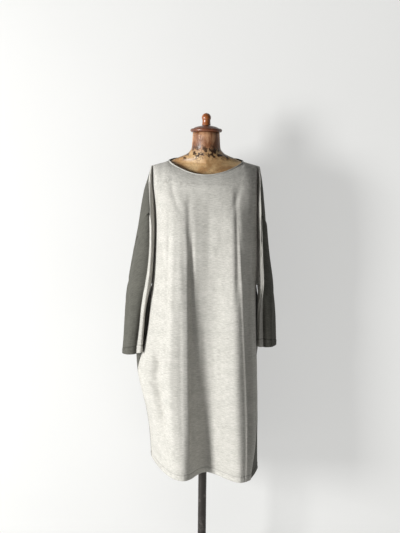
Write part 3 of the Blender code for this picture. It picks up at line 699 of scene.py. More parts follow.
@dataclass
class Cloth:
    """One cut piece of cloth, laid as grids that share their edges, and then pressed and thickened."""

    name: str
    grids: list[np.ndarray]
    flats: list[np.ndarray]
    creases: Sequence[Crease] = ()
    hem: Hem | None = None
    seam: Callable[[Vector], bool] = lambda place: False
    ripple: float = 0.0006
    ripple_scale: tuple[float, float] = (24.0, 8.0)
    wall: float = 0.0012
    seam_pull: float = 0.0006
    seam_width: float = 0.0030
    seam_reach: int = 3
    rounds: int = 14
    seed: float = 0.0

    def lift(self, flat: np.ndarray) -> np.ndarray:
        """Give how far each point of a grid moves out along its normal."""
        u, v = flat[..., 0], flat[..., 1]
        out = press_in(self.creases, u, v)
        across, up = self.ripple_scale
        for index in np.ndindex(u.shape):
            place = Vector((u[index] * across, v[index] * up, self.seed))
            out[index] += self.ripple * noise.fractal(place, 1.0, 2.0, 3)
        if self.hem:
            out += self.hem.relief(u, v)
        return out

    def lay(self, bm: bmesh.types.BMesh, points: np.ndarray, flat: np.ndarray) -> None:
        """Lay one grid over rows of points, with its flat place as UV.

        Args:
            bm: The mesh that the grid is added to.
            points: Rows by columns by 3, the top row first.
            flat: Rows by columns by 2, each point's place on the flat cloth.
        """
        height, width = points.shape[:2]
        press = bm.verts.layers.float.get("press") or bm.verts.layers.float.new("press")
        layer = bm.loops.layers.uv.get(UV_NAME) or bm.loops.layers.uv.new(UV_NAME)
        made = bmesh.ops.create_grid(bm, x_segments=width - 1, y_segments=height - 1, size=0.5)["verts"]
        order = sorted(made, key=lambda vert: (-round(vert.co.y, 5), round(vert.co.x, 5)))
        lift = self.lift(flat)
        spots = {}
        for n, vert in enumerate(order):
            j, i = divmod(n, width)
            vert.co = points[j, i]
            vert[press] = lift[j, i]
            spots[vert] = flat[j, i]
        for face in {face for vert in made for face in vert.link_faces}:
            face.smooth = True
            for loop in face.loops:
                loop[layer].uv = spots[loop.vert]

    def pull_seams(self, bm: bmesh.types.BMesh) -> None:
        """Draw the cloth in beside each sewn edge, as the seam's stitches do."""
        sewn = [vert for vert in bm.verts if vert.is_boundary and self.seam(vert.co)]
        if not sewn:
            return
        tree = kdtree.KDTree(len(sewn))
        for n, vert in enumerate(sewn):
            tree.insert(vert.co, n)
        tree.balance()
        moves = []
        for vert in bm.verts:
            away = tree.find(vert.co)[2]
            if away < self.seam_width * self.seam_reach:
                pull = self.seam_pull * math.exp(-(away / self.seam_width) ** 2)
                moves.append((vert, vert.normal * pull))
        for vert, move in moves:
            vert.co -= move

    def build(self, finish: bpy.types.Material, outward: Callable[[Vector], Vector]) -> bpy.types.Object:
        """Make the piece.

        Args:
            finish: The cloth's material.
            outward: Gives the rough outward direction at a point.

        Returns:
            The finished object, which rides on the part's body.
        """
        bm = bmesh.new()
        for points, flat in zip(self.grids, self.flats):
            self.lay(bm, points, flat)
        bmesh.ops.remove_doubles(bm, verts=bm.verts, dist=CLOTH_WELD)
        bmesh.ops.recalc_face_normals(bm, faces=bm.faces)
        bm.normal_update()
        facing = 0.0
        for face in bm.faces:
            facing += face.calc_area() * face.normal.dot(outward(face.calc_center_median()))
        if facing < 0:
            bmesh.ops.reverse_faces(bm, faces=bm.faces)
        inner = [vert for vert in bm.verts if not vert.is_boundary]
        for _ in range(self.rounds):
            bmesh.ops.smooth_vert(
                bm, verts=inner, factor=0.5, use_axis_x=True, use_axis_y=True, use_axis_z=True
            )
        bm.normal_update()
        press = bm.verts.layers.float["press"]
        for vert, move in [(vert, vert.normal * vert[press]) for vert in bm.verts]:
            vert.co += move
        bm.normal_update()
        self.pull_seams(bm)
        return finish_piece(self.name, bm, finish, self.wall)


def finish_piece(
    name: str, bm: bmesh.types.BMesh, finish: bpy.types.Material, wall: float = 0.0
) -> bpy.types.Object:
    """Turn a bmesh into a piece of the part.

    Args:
        name: The piece's name.
        bm: Its mesh, which is freed.
        finish: Its material.
        wall: The thickness of a cloth wall, or 0 for a closed shape.

    Returns:
        The new object.
    """
    mesh = bpy.data.meshes.new(name)
    bm.to_mesh(mesh)
    bm.free()
    mesh.materials.append(finish)
    piece = bpy.data.objects.new(name, mesh)
    bpy.context.scene.collection.objects.link(piece)
    if wall:
        thick = piece.modifiers.new("Wall", "SOLIDIFY")
        thick.thickness = wall
        thick.offset = 0
    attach(piece, ROOT)
    return piece


def sheet_area(piece: bpy.types.Object) -> float:
    """Measure a piece's mesh: one side of a panel or sleeve, and both sides of a closed band."""
    return sum(face.area for face in piece.data.polygons)


class Nodes:
    """Adds and joins the nodes of one material or group."""

    def __init__(self, tree: bpy.types.NodeTree) -> None:
        """Keep the tree that the nodes go in."""
        self.tree = tree

    def add(self, kind: str, settings: dict[str, Any] | None = None, **inputs: Any) -> bpy.types.Node:
        """Add a node.

        Args:
            kind: The node's type, without the words ShaderNode.
            settings: Its options.
            inputs: Its inputs by name, with _ for a space, each a value or a socket to join.

        Returns:
            The new node.
        """
        node = self.tree.nodes.new("ShaderNode" + kind)
        for key, value in (settings or {}).items():
            setattr(node, key, value)
        for key, value in inputs.items():
            name = key.replace("_", " ")
            self.put(node.inputs[int(name)] if name.isdigit() else node.inputs[name], value)
        return node

    def put(self, target: Socket, value: Any) -> None:
        """Set an input, or join it to an output."""
        if isinstance(value, bpy.types.NodeSocket):
            self.tree.links.new(value, target)
        else:
            target.default_value = value

    def sum(self, operation: str, first: Any, second: Any = 0.0, third: Any = 0.0) -> Socket:
        """Work out a Math node and give its output."""
        node = self.add("Math", {"operation": operation})
        for target, value in zip(node.inputs, (first, second, third)):
            self.put(target, value)
        return node.outputs[0]

    def span(self, value: Any, low: float, high: float, to_low: float = 0.0, to_high: float = 1.0) -> Socket:
        """Map a value's range softly to another."""
        node = self.add("MapRange", {"interpolation_type": "SMOOTHSTEP"})
        for target, number in zip(node.inputs, (value, low, high, to_low, to_high)):
            self.put(target, number)
        return node.outputs[0]

    def blend(self, share: Any, first: Any, second: Any, mode: str = "MIX") -> Socket:
        """Mix two colours."""
        node = self.add("Mix", {"data_type": "RGBA", "blend_type": mode})
        for slot, value in ((0, share), (6, first), (7, second)):
            self.put(node.inputs[slot], value)
        return node.outputs[2]

    def stretch(self, vector: Any, x: float, y: float, z: float) -> Socket:
        """Scale a vector by axis."""
        return self.add("Mapping", {}, Vector=vector, Scale=(x, y, z)).outputs[0]

    def speckle(self, vector: Any, scale: float, detail: float = 3.0, rough: float = 0.5) -> Socket:
        """Read a noise texture's value."""
        node = self.add("TexNoise", {}, Vector=vector, Scale=scale, Detail=detail, Roughness=rough)
        return node.outputs["Fac"]

    def emboss(self, shader: bpy.types.Node, height: Socket, strength: float, distance: float) -> None:
        """Join a height to a shader's Normal by way of a bump."""
        bump = self.add("Bump", {}, Height=height, Strength=strength, Distance=distance)
        self.put(shader.inputs["Normal"], bump.outputs[0])


def new_group(name: str, inputs: Sequence[tuple[str, str]], outputs: Sequence[tuple[str, str]]) -> Nodes:
    """Start a shader node group with named sockets.

    Args:
        name: The group's name.
        inputs: Each input's name and kind (Float, Color or Vector).
        outputs: Each output's name and kind.

    Returns:
        The group's nodes, with its two end nodes in place.
    """
    tree = bpy.data.node_groups.new(name, "ShaderNodeTree")
    for in_out, sockets in (("INPUT", inputs), ("OUTPUT", outputs)):
        for label, kind in sockets:
            tree.interface.new_socket(label, in_out=in_out, socket_type="NodeSocket" + kind)
    tree.nodes.new("NodeGroupInput").name = "in"
    tree.nodes.new("NodeGroupOutput").name = "out"
    return Nodes(tree)


def knit_group() -> bpy.types.NodeTree:
    """Build the jersey's effect: mottled streaks along the rows, knit loops, a row of stitches and painted
    shade in the groove beside them.
    """
    sockets_in = [("Vector", "Vector"), ("Stitch Line", "Float")]
    sockets_out = [(name, "Float") for name in ("Streak", "Height", "Stitch")]
    nodes = new_group("jersey knit", sockets_in, sockets_out)
    tree = nodes.tree
    uv = tree.nodes["in"].outputs["Vector"]
    line = tree.nodes["in"].outputs["Stitch Line"]
    long_streak = nodes.speckle(nodes.stretch(uv, 52, 390, 1), 1.0, 2.0, 0.6)
    fine_streak = nodes.speckle(nodes.stretch(uv, 170, 1300, 1), 1.0, 1.0, 0.5)
    cloud = nodes.speckle(nodes.stretch(uv, 9, 30, 1), 1.0, 3.0, 0.6)
    streak = nodes.sum("MULTIPLY_ADD", long_streak, 0.5, nodes.sum("MULTIPLY", fine_streak, 0.3))
    streak = nodes.sum("MULTIPLY_ADD", cloud, 0.2, streak)
    nodes.put(tree.nodes["out"].inputs["Streak"], nodes.span(streak, 0.36, 0.64))
    parts = nodes.add("SeparateXYZ", {}, Vector=uv)
    loops = nodes.sum("SINE", nodes.sum("MULTIPLY", parts.outputs[0], math.tau / LOOP_WIDTH))
    rows = nodes.sum("SINE", nodes.sum("MULTIPLY", parts.outputs[1], math.tau / LOOP_HEIGHT))
    knit = nodes.sum("MULTIPLY", loops, rows)
    height = nodes.sum("MULTIPLY_ADD", knit, 0.35, streak)
    along = nodes.sum("SINE", nodes.sum("MULTIPLY", parts.outputs[0], math.tau / STITCH_LENGTH))
    dash = nodes.span(along, -0.55, -0.1)
    away = nodes.sum("ABSOLUTE", nodes.sum("SUBTRACT", parts.outputs[1], line))
    stitch = nodes.sum("MULTIPLY", dash, nodes.span(away, 0.0004, 0.0009, 1.0, 0.0))
    groove = nodes.span(away, 0.0006, 0.0020, 1.0, 0.0)
    height = nodes.sum("SUBTRACT", height, nodes.sum("MULTIPLY", groove, 1.5))
    height = nodes.sum("MULTIPLY_ADD", stitch, 1.6, height)
    nodes.put(tree.nodes["out"].inputs["Height"], height)
    # Painted shade: the Stitch output darkens the cloth's colour in the groove beside the hem's stitch line.
    nodes.put(tree.nodes["out"].inputs["Stitch"], nodes.sum("MULTIPLY", groove, 0.5))
    return tree


def stain_group() -> bpy.types.NodeTree:
    """Build an aged surface's effect: cloudy blotches, fine grain and a crackled network."""
    sockets_out = [(name, "Float") for name in ("Blotch", "Grain", "Crackle")]
    nodes = new_group("aged skin", [("Vector", "Vector")], sockets_out)
    tree = nodes.tree
    place = tree.nodes["in"].outputs["Vector"]
    blotch = nodes.speckle(place, 14.0, 5.0, 0.62)
    nodes.put(tree.nodes["out"].inputs["Blotch"], nodes.span(blotch, 0.42, 0.62))
    nodes.put(tree.nodes["out"].inputs["Grain"], nodes.speckle(place, 420.0, 4.0, 0.7))
    bent = nodes.add("VectorMath", {"operation": "MULTIPLY_ADD"})
    wobble = nodes.add("TexNoise", {}, Vector=place, Scale=45.0, Detail=3.0)
    nodes.put(bent.inputs[0], wobble.outputs["Color"])
    nodes.put(bent.inputs[1], (0.016, 0.016, 0.016))
    nodes.put(bent.inputs[2], place)
    cells = nodes.add("TexVoronoi", {"feature": "DISTANCE_TO_EDGE"}, Vector=bent.outputs[0], Scale=95.0)
    crack = nodes.span(cells.outputs["Distance"], 0.015, 0.07, 1.0, 0.0)
    where = nodes.span(nodes.speckle(place, 26.0, 4.0, 0.6), 0.45, 0.60)
    nodes.put(tree.nodes["out"].inputs["Crackle"], nodes.sum("MULTIPLY", crack, where))
    return tree


def shade(red: float, green: float, blue: float) -> Colour:
    """Give a linear colour with full alpha."""
    return (red, green, blue, 1.0)


class Finish:
    """A finish that makes its material once."""

    def start(self, name: str) -> tuple[bpy.types.Material, Nodes, bpy.types.Node]:
        """Make an empty material and give its nodes and its shader."""
        made = bpy.data.materials.new(name)
        made.use_nodes = True
        nodes = Nodes(made.node_tree)
        return made, nodes, made.node_tree.nodes["Principled BSDF"]


@dataclass(frozen=True)
class Jersey(Finish):
    """A soft mottled jersey with a felted bloom."""

    name: str
    body: Colour
    fibre: Colour
    sheen: float
    roughness: float = 0.92
    stitch_line: float = 0.020

    def make(self, knit: bpy.types.NodeTree) -> bpy.types.Material:
        """Make the material from the shared knit effect."""
        made, nodes, shader = self.start(self.name)
        uv = nodes.add("UVMap", {"uv_map": UV_NAME}).outputs[0]
        effect = nodes.add("Group", {"node_tree": knit}, Vector=uv, Stitch_Line=self.stitch_line)
        colour = nodes.blend(effect.outputs["Streak"], self.body, self.fibre)
        # Painted shade: the cloth's colour is darkened in the groove beside the hem's stitch line.
        dim = tuple(part * 0.45 for part in self.body[:3]) + (1.0,)
        colour = nodes.blend(effect.outputs["Stitch"], colour, dim)
        nodes.put(shader.inputs["Base Color"], colour)
        rough = nodes.span(effect.outputs["Streak"], 0.0, 1.0, self.roughness - 0.06, self.roughness)
        nodes.put(shader.inputs["Roughness"], rough)
        shader.inputs["Sheen Weight"].default_value = self.sheen
        shader.inputs["Sheen Roughness"].default_value = 0.5
        shader.inputs["Specular IOR Level"].default_value = 0.2
        nodes.emboss(shader, effect.outputs["Height"], 0.5, 0.0004)
        return made


@dataclass(frozen=True)
class AgedSkin(Finish):
    """The form's skin: a pinkish streaked neck over tan shoulders, with dark glossy blotches between."""

    name: str = "form skin"
    neck_pale: Colour = shade(0.42, 0.225, 0.12)
    neck_worn: Colour = shade(0.17, 0.062, 0.022)
    tan_pale: Colour = shade(0.56, 0.38, 0.19)
    tan_worn: Colour = shade(0.36, 0.20, 0.080)
    stain: Colour = shade(0.040, 0.018, 0.008)
    neck_low: float = 1.512
    neck_high: float = 1.538
    stain_low: float = 1.484
    stain_full: float = 1.504
    stain_fade: float = 1.524
    stain_high: float = 1.562

    def make(self, stains: bpy.types.NodeTree) -> bpy.types.Material:
        """Make the material from the shared stain effect."""
        made, nodes, shader = self.start(self.name)
        place = nodes.add("TexCoord").outputs["Object"]
        effect = nodes.add("Group", {"node_tree": stains}, Vector=place)
        height = nodes.add("SeparateXYZ", {}, Vector=place).outputs[2]
        neck = nodes.span(height, self.neck_low, self.neck_high)
        streak = nodes.speckle(nodes.stretch(place, 46, 46, 14), 1.0, 4.0, 0.6)
        pink = nodes.blend(nodes.span(streak, 0.38, 0.60), self.neck_pale, self.neck_worn)
        tan = nodes.blend(effect.outputs["Blotch"], self.tan_pale, self.tan_worn)
        colour = nodes.blend(neck, tan, pink)
        rise = nodes.span(height, self.stain_low, self.stain_full)
        fall = nodes.span(height, self.stain_fade, self.stain_high, 1.0, 0.0)
        belt = nodes.sum("MULTIPLY", rise, fall)
        spots = nodes.span(nodes.speckle(place, 70.0, 5.0, 0.65), 0.48, 0.55)
        dark = nodes.sum("MULTIPLY", spots, belt)
        crack = nodes.sum("MULTIPLY", effect.outputs["Crackle"], nodes.sum("MULTIPLY_ADD", belt, 0.5, 0.4))
        colour = nodes.blend(nodes.sum("MAXIMUM", dark, crack), colour, self.stain)
        nodes.put(shader.inputs["Base Color"], colour)
        rough = nodes.span(effect.outputs["Grain"], 0.3, 0.7, 0.42, 0.62)
        nodes.put(shader.inputs["Roughness"], nodes.sum("MULTIPLY_ADD", dark, -0.22, rough))
        relief = nodes.sum("MULTIPLY_ADD", effect.outputs["Crackle"], -1.2, effect.outputs["Grain"])
        nodes.emboss(shader, relief, 0.5, 0.0006)
        return made


@dataclass(frozen=True)
class TurnedWood(Finish):
    """Stained and varnished wood, turned on a lathe."""

    name: str
    light: Colour
    dark: Colour
    coat: float = 0.35

    def make(self) -> bpy.types.Material:
        """Make the material: long grain across the piece with fine turning lines."""
        made, nodes, shader = self.start(self.name)
        place = nodes.add("TexCoord").outputs["Object"]
        grain = nodes.speckle(nodes.stretch(place, 30, 260, 260), 1.0, 4.0, 0.6)
        cloud = nodes.speckle(place, 22.0, 3.0, 0.5)
        share = nodes.sum("MULTIPLY_ADD", grain, 0.65, nodes.sum("MULTIPLY", cloud, 0.35))
        share = nodes.span(share, 0.34, 0.62)
        nodes.put(shader.inputs["Base Color"], nodes.blend(share, self.dark, self.light))
        nodes.put(shader.inputs["Roughness"], nodes.span(share, 0.0, 1.0, 0.46, 0.34))
        shader.inputs["Coat Weight"].default_value = self.coat
        shader.inputs["Coat Roughness"].default_value = 0.22
        lines = nodes.speckle(nodes.stretch(place, 4, 4, 900), 1.0, 2.0, 0.5)
        relief = nodes.sum("MULTIPLY_ADD", lines, 0.5, grain)
        nodes.emboss(shader, relief, 0.25, 0.0003)
        return made


@dataclass(frozen=True)
class DarkMetal(Finish):
    """Dark metal with worn patches: polished steel or rough casting."""

    name: str
    colour: Colour
    worn: Colour
    roughness: float
    grain_scale: float
    relief: float

    def make(self) -> bpy.types.Material:
        """Make the material."""
        made, nodes, shader = self.start(self.name)
        place = nodes.add("TexCoord").outputs["Object"]
        patch = nodes.span(nodes.speckle(place, 30.0, 5.0, 0.65), 0.50, 0.72)
        grain = nodes.speckle(nodes.stretch(place, 1, 1, 0.25), self.grain_scale, 4.0, 0.6)
        nodes.put(shader.inputs["Base Color"], nodes.blend(patch, self.colour, self.worn))
        shader.inputs["Metallic"].default_value = 0.85
        rough = nodes.span(grain, 0.3, 0.7, self.roughness - 0.07, self.roughness + 0.12)
        nodes.put(shader.inputs["Roughness"], rough)
        nodes.emboss(shader, grain, 0.4, self.relief)
        return made


@dataclass(frozen=True)
class Plaster(Finish):
    """The pale matt floor and wall, which can be seen through from behind."""

    colour: Colour = shade(0.28, 0.28, 0.273)
    glow: float = 0.51

    def make(self) -> bpy.types.Material:
        """Make the material."""
        made, nodes, shader = self.start("pale backdrop")
        place = nodes.add("TexCoord").outputs["Object"]
        cloud = nodes.span(nodes.speckle(place, 1.5, 3.0, 0.5), 0.3, 0.7)
        dim = tuple(part * 0.96 for part in self.colour[:3]) + (1.0,)
        nodes.put(shader.inputs["Base Color"], nodes.blend(cloud, self.colour, dim))
        shader.inputs["Roughness"].default_value = 0.9
        shader.inputs["Emission Color"].default_value = shade(1.0, 1.0, 0.985)
        shader.inputs["Emission Strength"].default_value = self.glow
        clear = nodes.add("BsdfTransparent")
        back = nodes.add("NewGeometry").outputs["Backfacing"]
        both = nodes.add("MixShader")
        for slot, source in ((0, back), (1, shader.outputs[0]), (2, clear.outputs[0])):
            nodes.put(both.inputs[slot], source)
        nodes.put(made.node_tree.nodes["Material Output"].inputs["Surface"], both.outputs[0])
        return made


@dataclass(frozen=True)
class Finishes:
    """All finishes of the part."""

    light: bpy.types.Material
    charcoal: bpy.types.Material
    skin: bpy.types.Material
    cap: bpy.types.Material
    knob: bpy.types.Material
    steel: bpy.types.Material
    iron: bpy.types.Material
    plaster: bpy.types.Material


def make_finishes() -> Finishes:
    """Make every material of the part and the stage."""
    knit = knit_group()
    stains = stain_group()
    light = Jersey("light jersey", shade(0.51, 0.497, 0.458), shade(0.335, 0.326, 0.296), 0.05)
    charcoal = Jersey("charcoal jersey", shade(0.056, 0.055, 0.046), shade(0.100, 0.098, 0.083), 0.02)
    cap = TurnedWood("stained cap wood", shade(0.165, 0.050, 0.019), shade(0.065, 0.019, 0.008), 0.15)
    knob = TurnedWood("stained knob wood", shade(0.28, 0.082, 0.018), shade(0.15, 0.037, 0.009), 0.15)
    steel = DarkMetal("dark steel", shade(0.055, 0.050, 0.046), shade(0.13, 0.12, 0.11), 0.34, 300, 0.0001)
    iron = DarkMetal("cast iron", shade(0.045, 0.043, 0.042), shade(0.085, 0.078, 0.07), 0.55, 160, 0.0004)
    return Finishes(
        light=light.make(knit),
        charcoal=charcoal.make(knit),
        skin=AgedSkin().make(stains),
        cap=cap.make(),
        knob=knob.make(),
        steel=steel.make(),
        iron=iron.make(),
        plaster=Plaster().make(),
    )


FRONT_CREASES = (
    Crease((-0.068, 0.98), (-0.066, 0.82), 0.002, 0.014, 0.0036),
    Crease((-0.080, 0.88), (-0.074, 0.08), 0.002, 0.009, -0.0036),
    Crease((-0.054, 0.86), (-0.049, 0.46), 0.002, 0.009, 0.0055),
    Crease((-0.062, 0.46), (-0.052, 0.06), 0.003, 0.012, 0.0045),
    Crease((0.130, 0.99), (0.128, 0.63), -0.003, 0.012, 0.0050),
    Crease((0.140, 0.84), (0.166, 0.00), -0.004, 0.005, -0.0040),
    Crease((0.160, 0.58), (0.180, 0.07), -0.003, 0.008, 0.0050),
    Crease((0.193, 0.82), (0.194, 0.28), 0.002, 0.005, -0.0030),
    Crease((-0.210, 0.45), (-0.204, 0.16), 0.004, 0.018, 0.0150),
    Crease((0.205, 1.02), (0.205, 0.76), 0.000, 0.028, -0.0080),
    Crease((-0.143, 0.82), (-0.146, 0.04), 0.004, 0.016, -0.0060),
    Crease((-0.106, 0.62), (-0.104, 0.06), 0.002, 0.014, 0.0048),
    Crease((-0.172, 0.90), (-0.176, 0.55), 0.004, 0.011, 0.0030),
    Crease((0.010, 0.95), (0.004, 0.72), 0.002, 0.014, 0.0020),
    Crease((-0.020, 0.60), (-0.012, 0.12), 0.005, 0.010, -0.0018),
    Crease((0.040, 0.50), (0.046, 0.10), -0.003, 0.009, -0.0016),
    Crease((-0.240, 0.46), (-0.196, 0.38), 0.005, 0.010, 0.0040),
    Crease((-0.250, 0.36), (-0.190, 0.27), 0.004, 0.009, 0.0030),
    Crease((0.205, 0.62), (0.175, 0.50), 0.003, 0.010, 0.0022),
    Crease((-0.150, 1.03), (-0.100, 0.93), 0.006, 0.014, 0.0028),
    Crease((0.150, 1.03), (0.100, 0.93), -0.006, 0.013, 0.0024),
    Crease((-0.236, 0.84), (-0.196, 0.74), 0.006, 0.012, 0.0030),
)
BACK_CREASES = (
    Crease((-0.130, 1.00), (-0.150, 0.66), 0.004, 0.014, 0.0070),
    Crease((0.135, 1.00), (0.155, 0.62), -0.004, 0.014, 0.0065),
    Crease((0.040, 0.98), (0.060, 0.52), 0.003, 0.013, 0.0050),
    Crease((-0.060, 0.96), (-0.050, 0.48), 0.003, 0.013, 0.0055),
    Crease((-0.010, 0.90), (0.006, 0.60), -0.003, 0.012, -0.0040),
    Crease((-0.205, 0.60), (-0.190, 0.12), 0.004, 0.012, 0.0060),
    Crease((0.235, 0.58), (0.220, 0.10), 0.004, 0.012, 0.0060),
    Crease((0.105, 0.58), (0.112, 0.04), -0.003, 0.011, 0.0045),
    Crease((-0.110, 0.46), (-0.104, 0.04), 0.003, 0.010, 0.0040),
    Crease((-0.020, 0.48), (-0.010, 0.08), 0.003, 0.009, -0.0030),
    Crease((0.200, 1.02), (0.110, 0.93), 0.008, 0.014, 0.0035),
    Crease((-0.200, 1.02), (-0.110, 0.93), -0.008, 0.014, 0.0032),
    Crease((0.318, 0.645), (0.322, 0.390), 0.000, 0.026, -0.0300),
    Crease((-0.250, 0.690), (-0.250, 0.420), 0.000, 0.022, -0.0130),
)
SLEEVE_CREASES = {
    Layer.FRONT: (
        Crease((-0.040, 0.44), (-0.030, 0.16), 0.006, 0.009, 0.0035),
        Crease((0.000, 0.34), (0.040, 0.28), 0.003, 0.008, 0.0030),
        Crease((0.006, 0.26), (0.044, 0.21), -0.003, 0.007, 0.0026),
        Crease((-0.045, 0.24), (0.010, 0.16), 0.004, 0.008, 0.0026),
    ),
    Layer.BACK: (
        Crease((-0.020, 0.46), (-0.012, 0.16), 0.006, 0.009, 0.0040),
        Crease((0.040, 0.42), (0.030, 0.20), -0.005, 0.010, 0.0026),
        Crease((-0.045, 0.30), (0.020, 0.24), 0.004, 0.009, 0.0030),
        Crease((0.045, 0.24), (-0.010, 0.16), 0.004, 0.008, 0.0026),
        Crease((-0.030, 0.18), (-0.018, 0.05), 0.003, 0.007, 0.0022),
        Crease((0.085, 0.44), (0.080, -0.05), 0.002, 0.022, -0.0050),
        Crease((0.050, 0.13), (0.088, 0.10), 0.003, 0.007, 0.0018),
    ),
}
RIGHT_TUCK = Crease((0.045, 0.46), (0.045, 0.02), 0.000, 0.016, 0.0080)
SEAM_GROOVES = {Layer.FRONT: 0.011, Layer.BACK: 0.021}


@dataclass
class Dress:
    """The garment: two panels, four sleeve halves and a band in two parts."""

    finishes: Finishes
    drape: Drape = field(default_factory=Drape)
    panel_across: dict[Layer, int] = field(default_factory=lambda: {Layer.FRONT: 3, Layer.BACK: 5})
    patch_across: dict[Layer, int] = field(default_factory=lambda: {Layer.FRONT: 5, Layer.BACK: 3})
    sleeve_across: dict[Layer, int] = field(default_factory=lambda: {Layer.FRONT: 8, Layer.BACK: 4})
    roll_down: int = 6
    chest_down: int = 12
    skirt_down: int = 13
    hem_down: int = 24
    sleeve_down: int = 12
    groove: float = 0.0150
    hem_clear: float = 0.004
    corner_clear: float = 0.001
    band_end: float = 0.0012
    band_lift: float = 0.9
    band_low: float = 0.0006
    band_high: float = 0.0048
    band_half: float = 0.0011
    band_across: int = 4
    band_flat_height: float = 0.04

    def cloth_finish(self, layer: Layer) -> tuple[bpy.types.Material, str]:
        """Give a layer's material and its slot."""
        if layer is Layer.FRONT:
            return self.finishes.light, "light_jersey"
        return self.finishes.charcoal, "charcoal_jersey"

    def down_steps(self) -> list[int]:
        """Give the steps between the rows of a whole panel."""
        drape = self.drape
        steps = [self.roll_down] * drape.roll_count + [self.chest_down] * drape.chest_count
        return steps + [self.skirt_down] * (drape.skirt_count - 1) + [self.hem_down]

    def make_panel(self, layer: Layer) -> bpy.types.Object:
        """Make the front or back panel with its two dropped shoulders."""
        drape = self.drape
        rows = drape.panel_rows(layer)
        body = refine_grid(rows, self.down_steps(), self.panel_across[layer])
        upright = run_lengths(body[:, body.shape[1] // 2])
        ups = upright[-1] - upright
        wide = run_lengths(body[body.shape[0] * 2 // 3])
        across = wide - wide[len(wide) // 2]
        grids = [body]
        flats = [flat_places(across, ups)]
        deep = drape.roll_count + drape.chest_count + 1
        steps = self.down_steps()[:deep - 1]
        fine = sum(steps) + 1
        sides = (Side.LEFT, Side.RIGHT) if layer is Layer.FRONT else (Side.RIGHT, Side.LEFT)
        for side, end in zip(sides, (0, -1)):
            armpit = [row[end].copy() for row in rows[:deep]]
            patch = refine_grid(drape.shoulder_patch(layer, side, armpit), steps, self.patch_across[layer])
            patch[:-1, 0] = body[:fine - 1, end]
            away = run_lengths(patch[fine // 2])
            u = across[end] + (away if end else -away)
            grids.append(patch)
            flats.append(flat_places(u, ups[:fine]))
        finish, slot = self.cloth_finish(layer)
        outward = Vector((0, -1, 0)) if layer is Layer.FRONT else Vector((0, 1, 0))
        cloth = Cloth(
            name="dress_panel_" + layer.value,
            grids=grids,
            flats=flats,
            creases=FRONT_CREASES if layer is Layer.FRONT else BACK_CREASES,
            hem=Hem(),
            seam=lambda place: place.z > drape.hem + self.hem_clear and not self.on_neckline(place),
            seed=1.0 if layer is Layer.FRONT else 2.0,
        )
        piece = cloth.build(finish, lambda place: outward)
        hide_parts("dress_" + layer.value)
        return piece

    def on_neckline(self, place: Vector) -> bool:
        """Tell whether a place on a panel's edge is on the neckline."""
        return abs(place.x) < self.drape.neck_x - self.corner_clear and place.z > self.drape.chest

    def make_sleeve(self, layer: Layer, side: Side) -> bpy.types.Object:
        """Make one half of a sleeve, from the armhole seam to the cuff."""
        drape = self.drape
        rows = drape.sleeve_rows(layer, side)
        steps = [self.sleeve_down] * (drape.sleeve_count - 1) + [self.hem_down]
        grid = refine_grid(rows, steps, self.sleeve_across[layer])
        upright = run_lengths(grid[:, grid.shape[1] // 2])
        ups = upright[-1] - upright
        wide = run_lengths(grid[grid.shape[0] // 2])
        across = wide - wide[len(wide) // 2]
        cuff = max(drape.left_cuff if side is Side.LEFT else drape.right_cuff)
        finish, slot = self.cloth_finish(layer)
        node = f"sleeve_{side.word}_{layer.value}"
        seam_u = across[-1]
        tucks = (RIGHT_TUCK,) if side is Side.RIGHT and layer is Layer.FRONT else ()
        groove = Crease((seam_u, 0.40), (seam_u, -0.08), 0.0, SEAM_GROOVES[layer], self.groove)
        cloth = Cloth(
            name=node.replace("sleeve", "sleeve_half"),
            grids=[grid],
            flats=[flat_places(across, ups)],
            creases=(*SLEEVE_CREASES[layer], groove, *tucks),
            hem=Hem(),
            seam=lambda place: place.z > cuff + self.hem_clear,
            seed=3.0 + side.value + (0.5 if layer is Layer.FRONT else 0.0),
            rounds=4,
        )
        middle = drape.oval(side, 1.0)
        axis = Vector((side.value * middle.x, middle.y, 0))
        piece = cloth.build(finish, lambda place: Vector((place.x - axis.x, place.y - axis.y, 0)))
        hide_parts(node)
        return piece

    def make_band(self, layer: Layer) -> bpy.types.Object:
        """Make one part of the neckband: a narrow strip folded over the neckline."""
        drape = self.drape
        rolls = drape.roll_rows(layer)
        limit = drape.neck_x + drape.seam_gap
        edge = [pair for pair in zip(rolls[0], rolls[1]) if abs(pair[0].x) <= limit]
        low_row, high_row, out_row = [], [], []
        end_y = -self.band_end if layer is Layer.FRONT else self.band_end
        for n, (top, below) in enumerate(edge):
            along = (edge[min(n + 1, len(edge) - 1)][0] - edge[max(n - 1, 0)][0]).normalized()
            up = top - below
            up -= along * up.dot(along)
            up = (up.normalized() + Vector((0, 0, self.band_lift))).normalized()
            if n in (0, len(edge) - 1):
                up = Vector((up.x, 0, up.z)).normalized()
                top = Vector((top.x, end_y, top.z))
            out = along.cross(up).normalized()
            low_row.append(top + up * self.band_low)
            high_row.append(top + up * self.band_high)
            out_row.append(out)
        rows = []
        for height, reach in self.band_profile():
            rows.append([mix(a, b, height) + out * reach for a, b, out in zip(low_row, high_row, out_row)])
        columns = as_array(rows).transpose(1, 0, 2)
        grid = refine(columns, [self.band_across] * (len(edge) - 1)).transpose(1, 0, 2)
        wide = run_lengths(grid[0])
        ring = run_lengths(grid[:, grid.shape[1] // 2])
        flat = flat_places(wide, self.band_flat_height + ring)
        finish, slot = self.cloth_finish(layer)
        bm = bmesh.new()
        Cloth(name="band", grids=[], flats=[], ripple=0.0002).lay(bm, grid, flat)
        bmesh.ops.remove_doubles(bm, verts=bm.verts, dist=CLOTH_WELD)
        rims = [edge for edge in bm.edges if edge.is_boundary]
        bmesh.ops.holes_fill(bm, edges=rims, sides=0)
        bmesh.ops.recalc_face_normals(bm, faces=bm.faces)
        node = "neckband_" + layer.value
        piece = finish_piece("neckband_part_" + layer.value, bm, finish)
        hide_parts(node)
        return piece

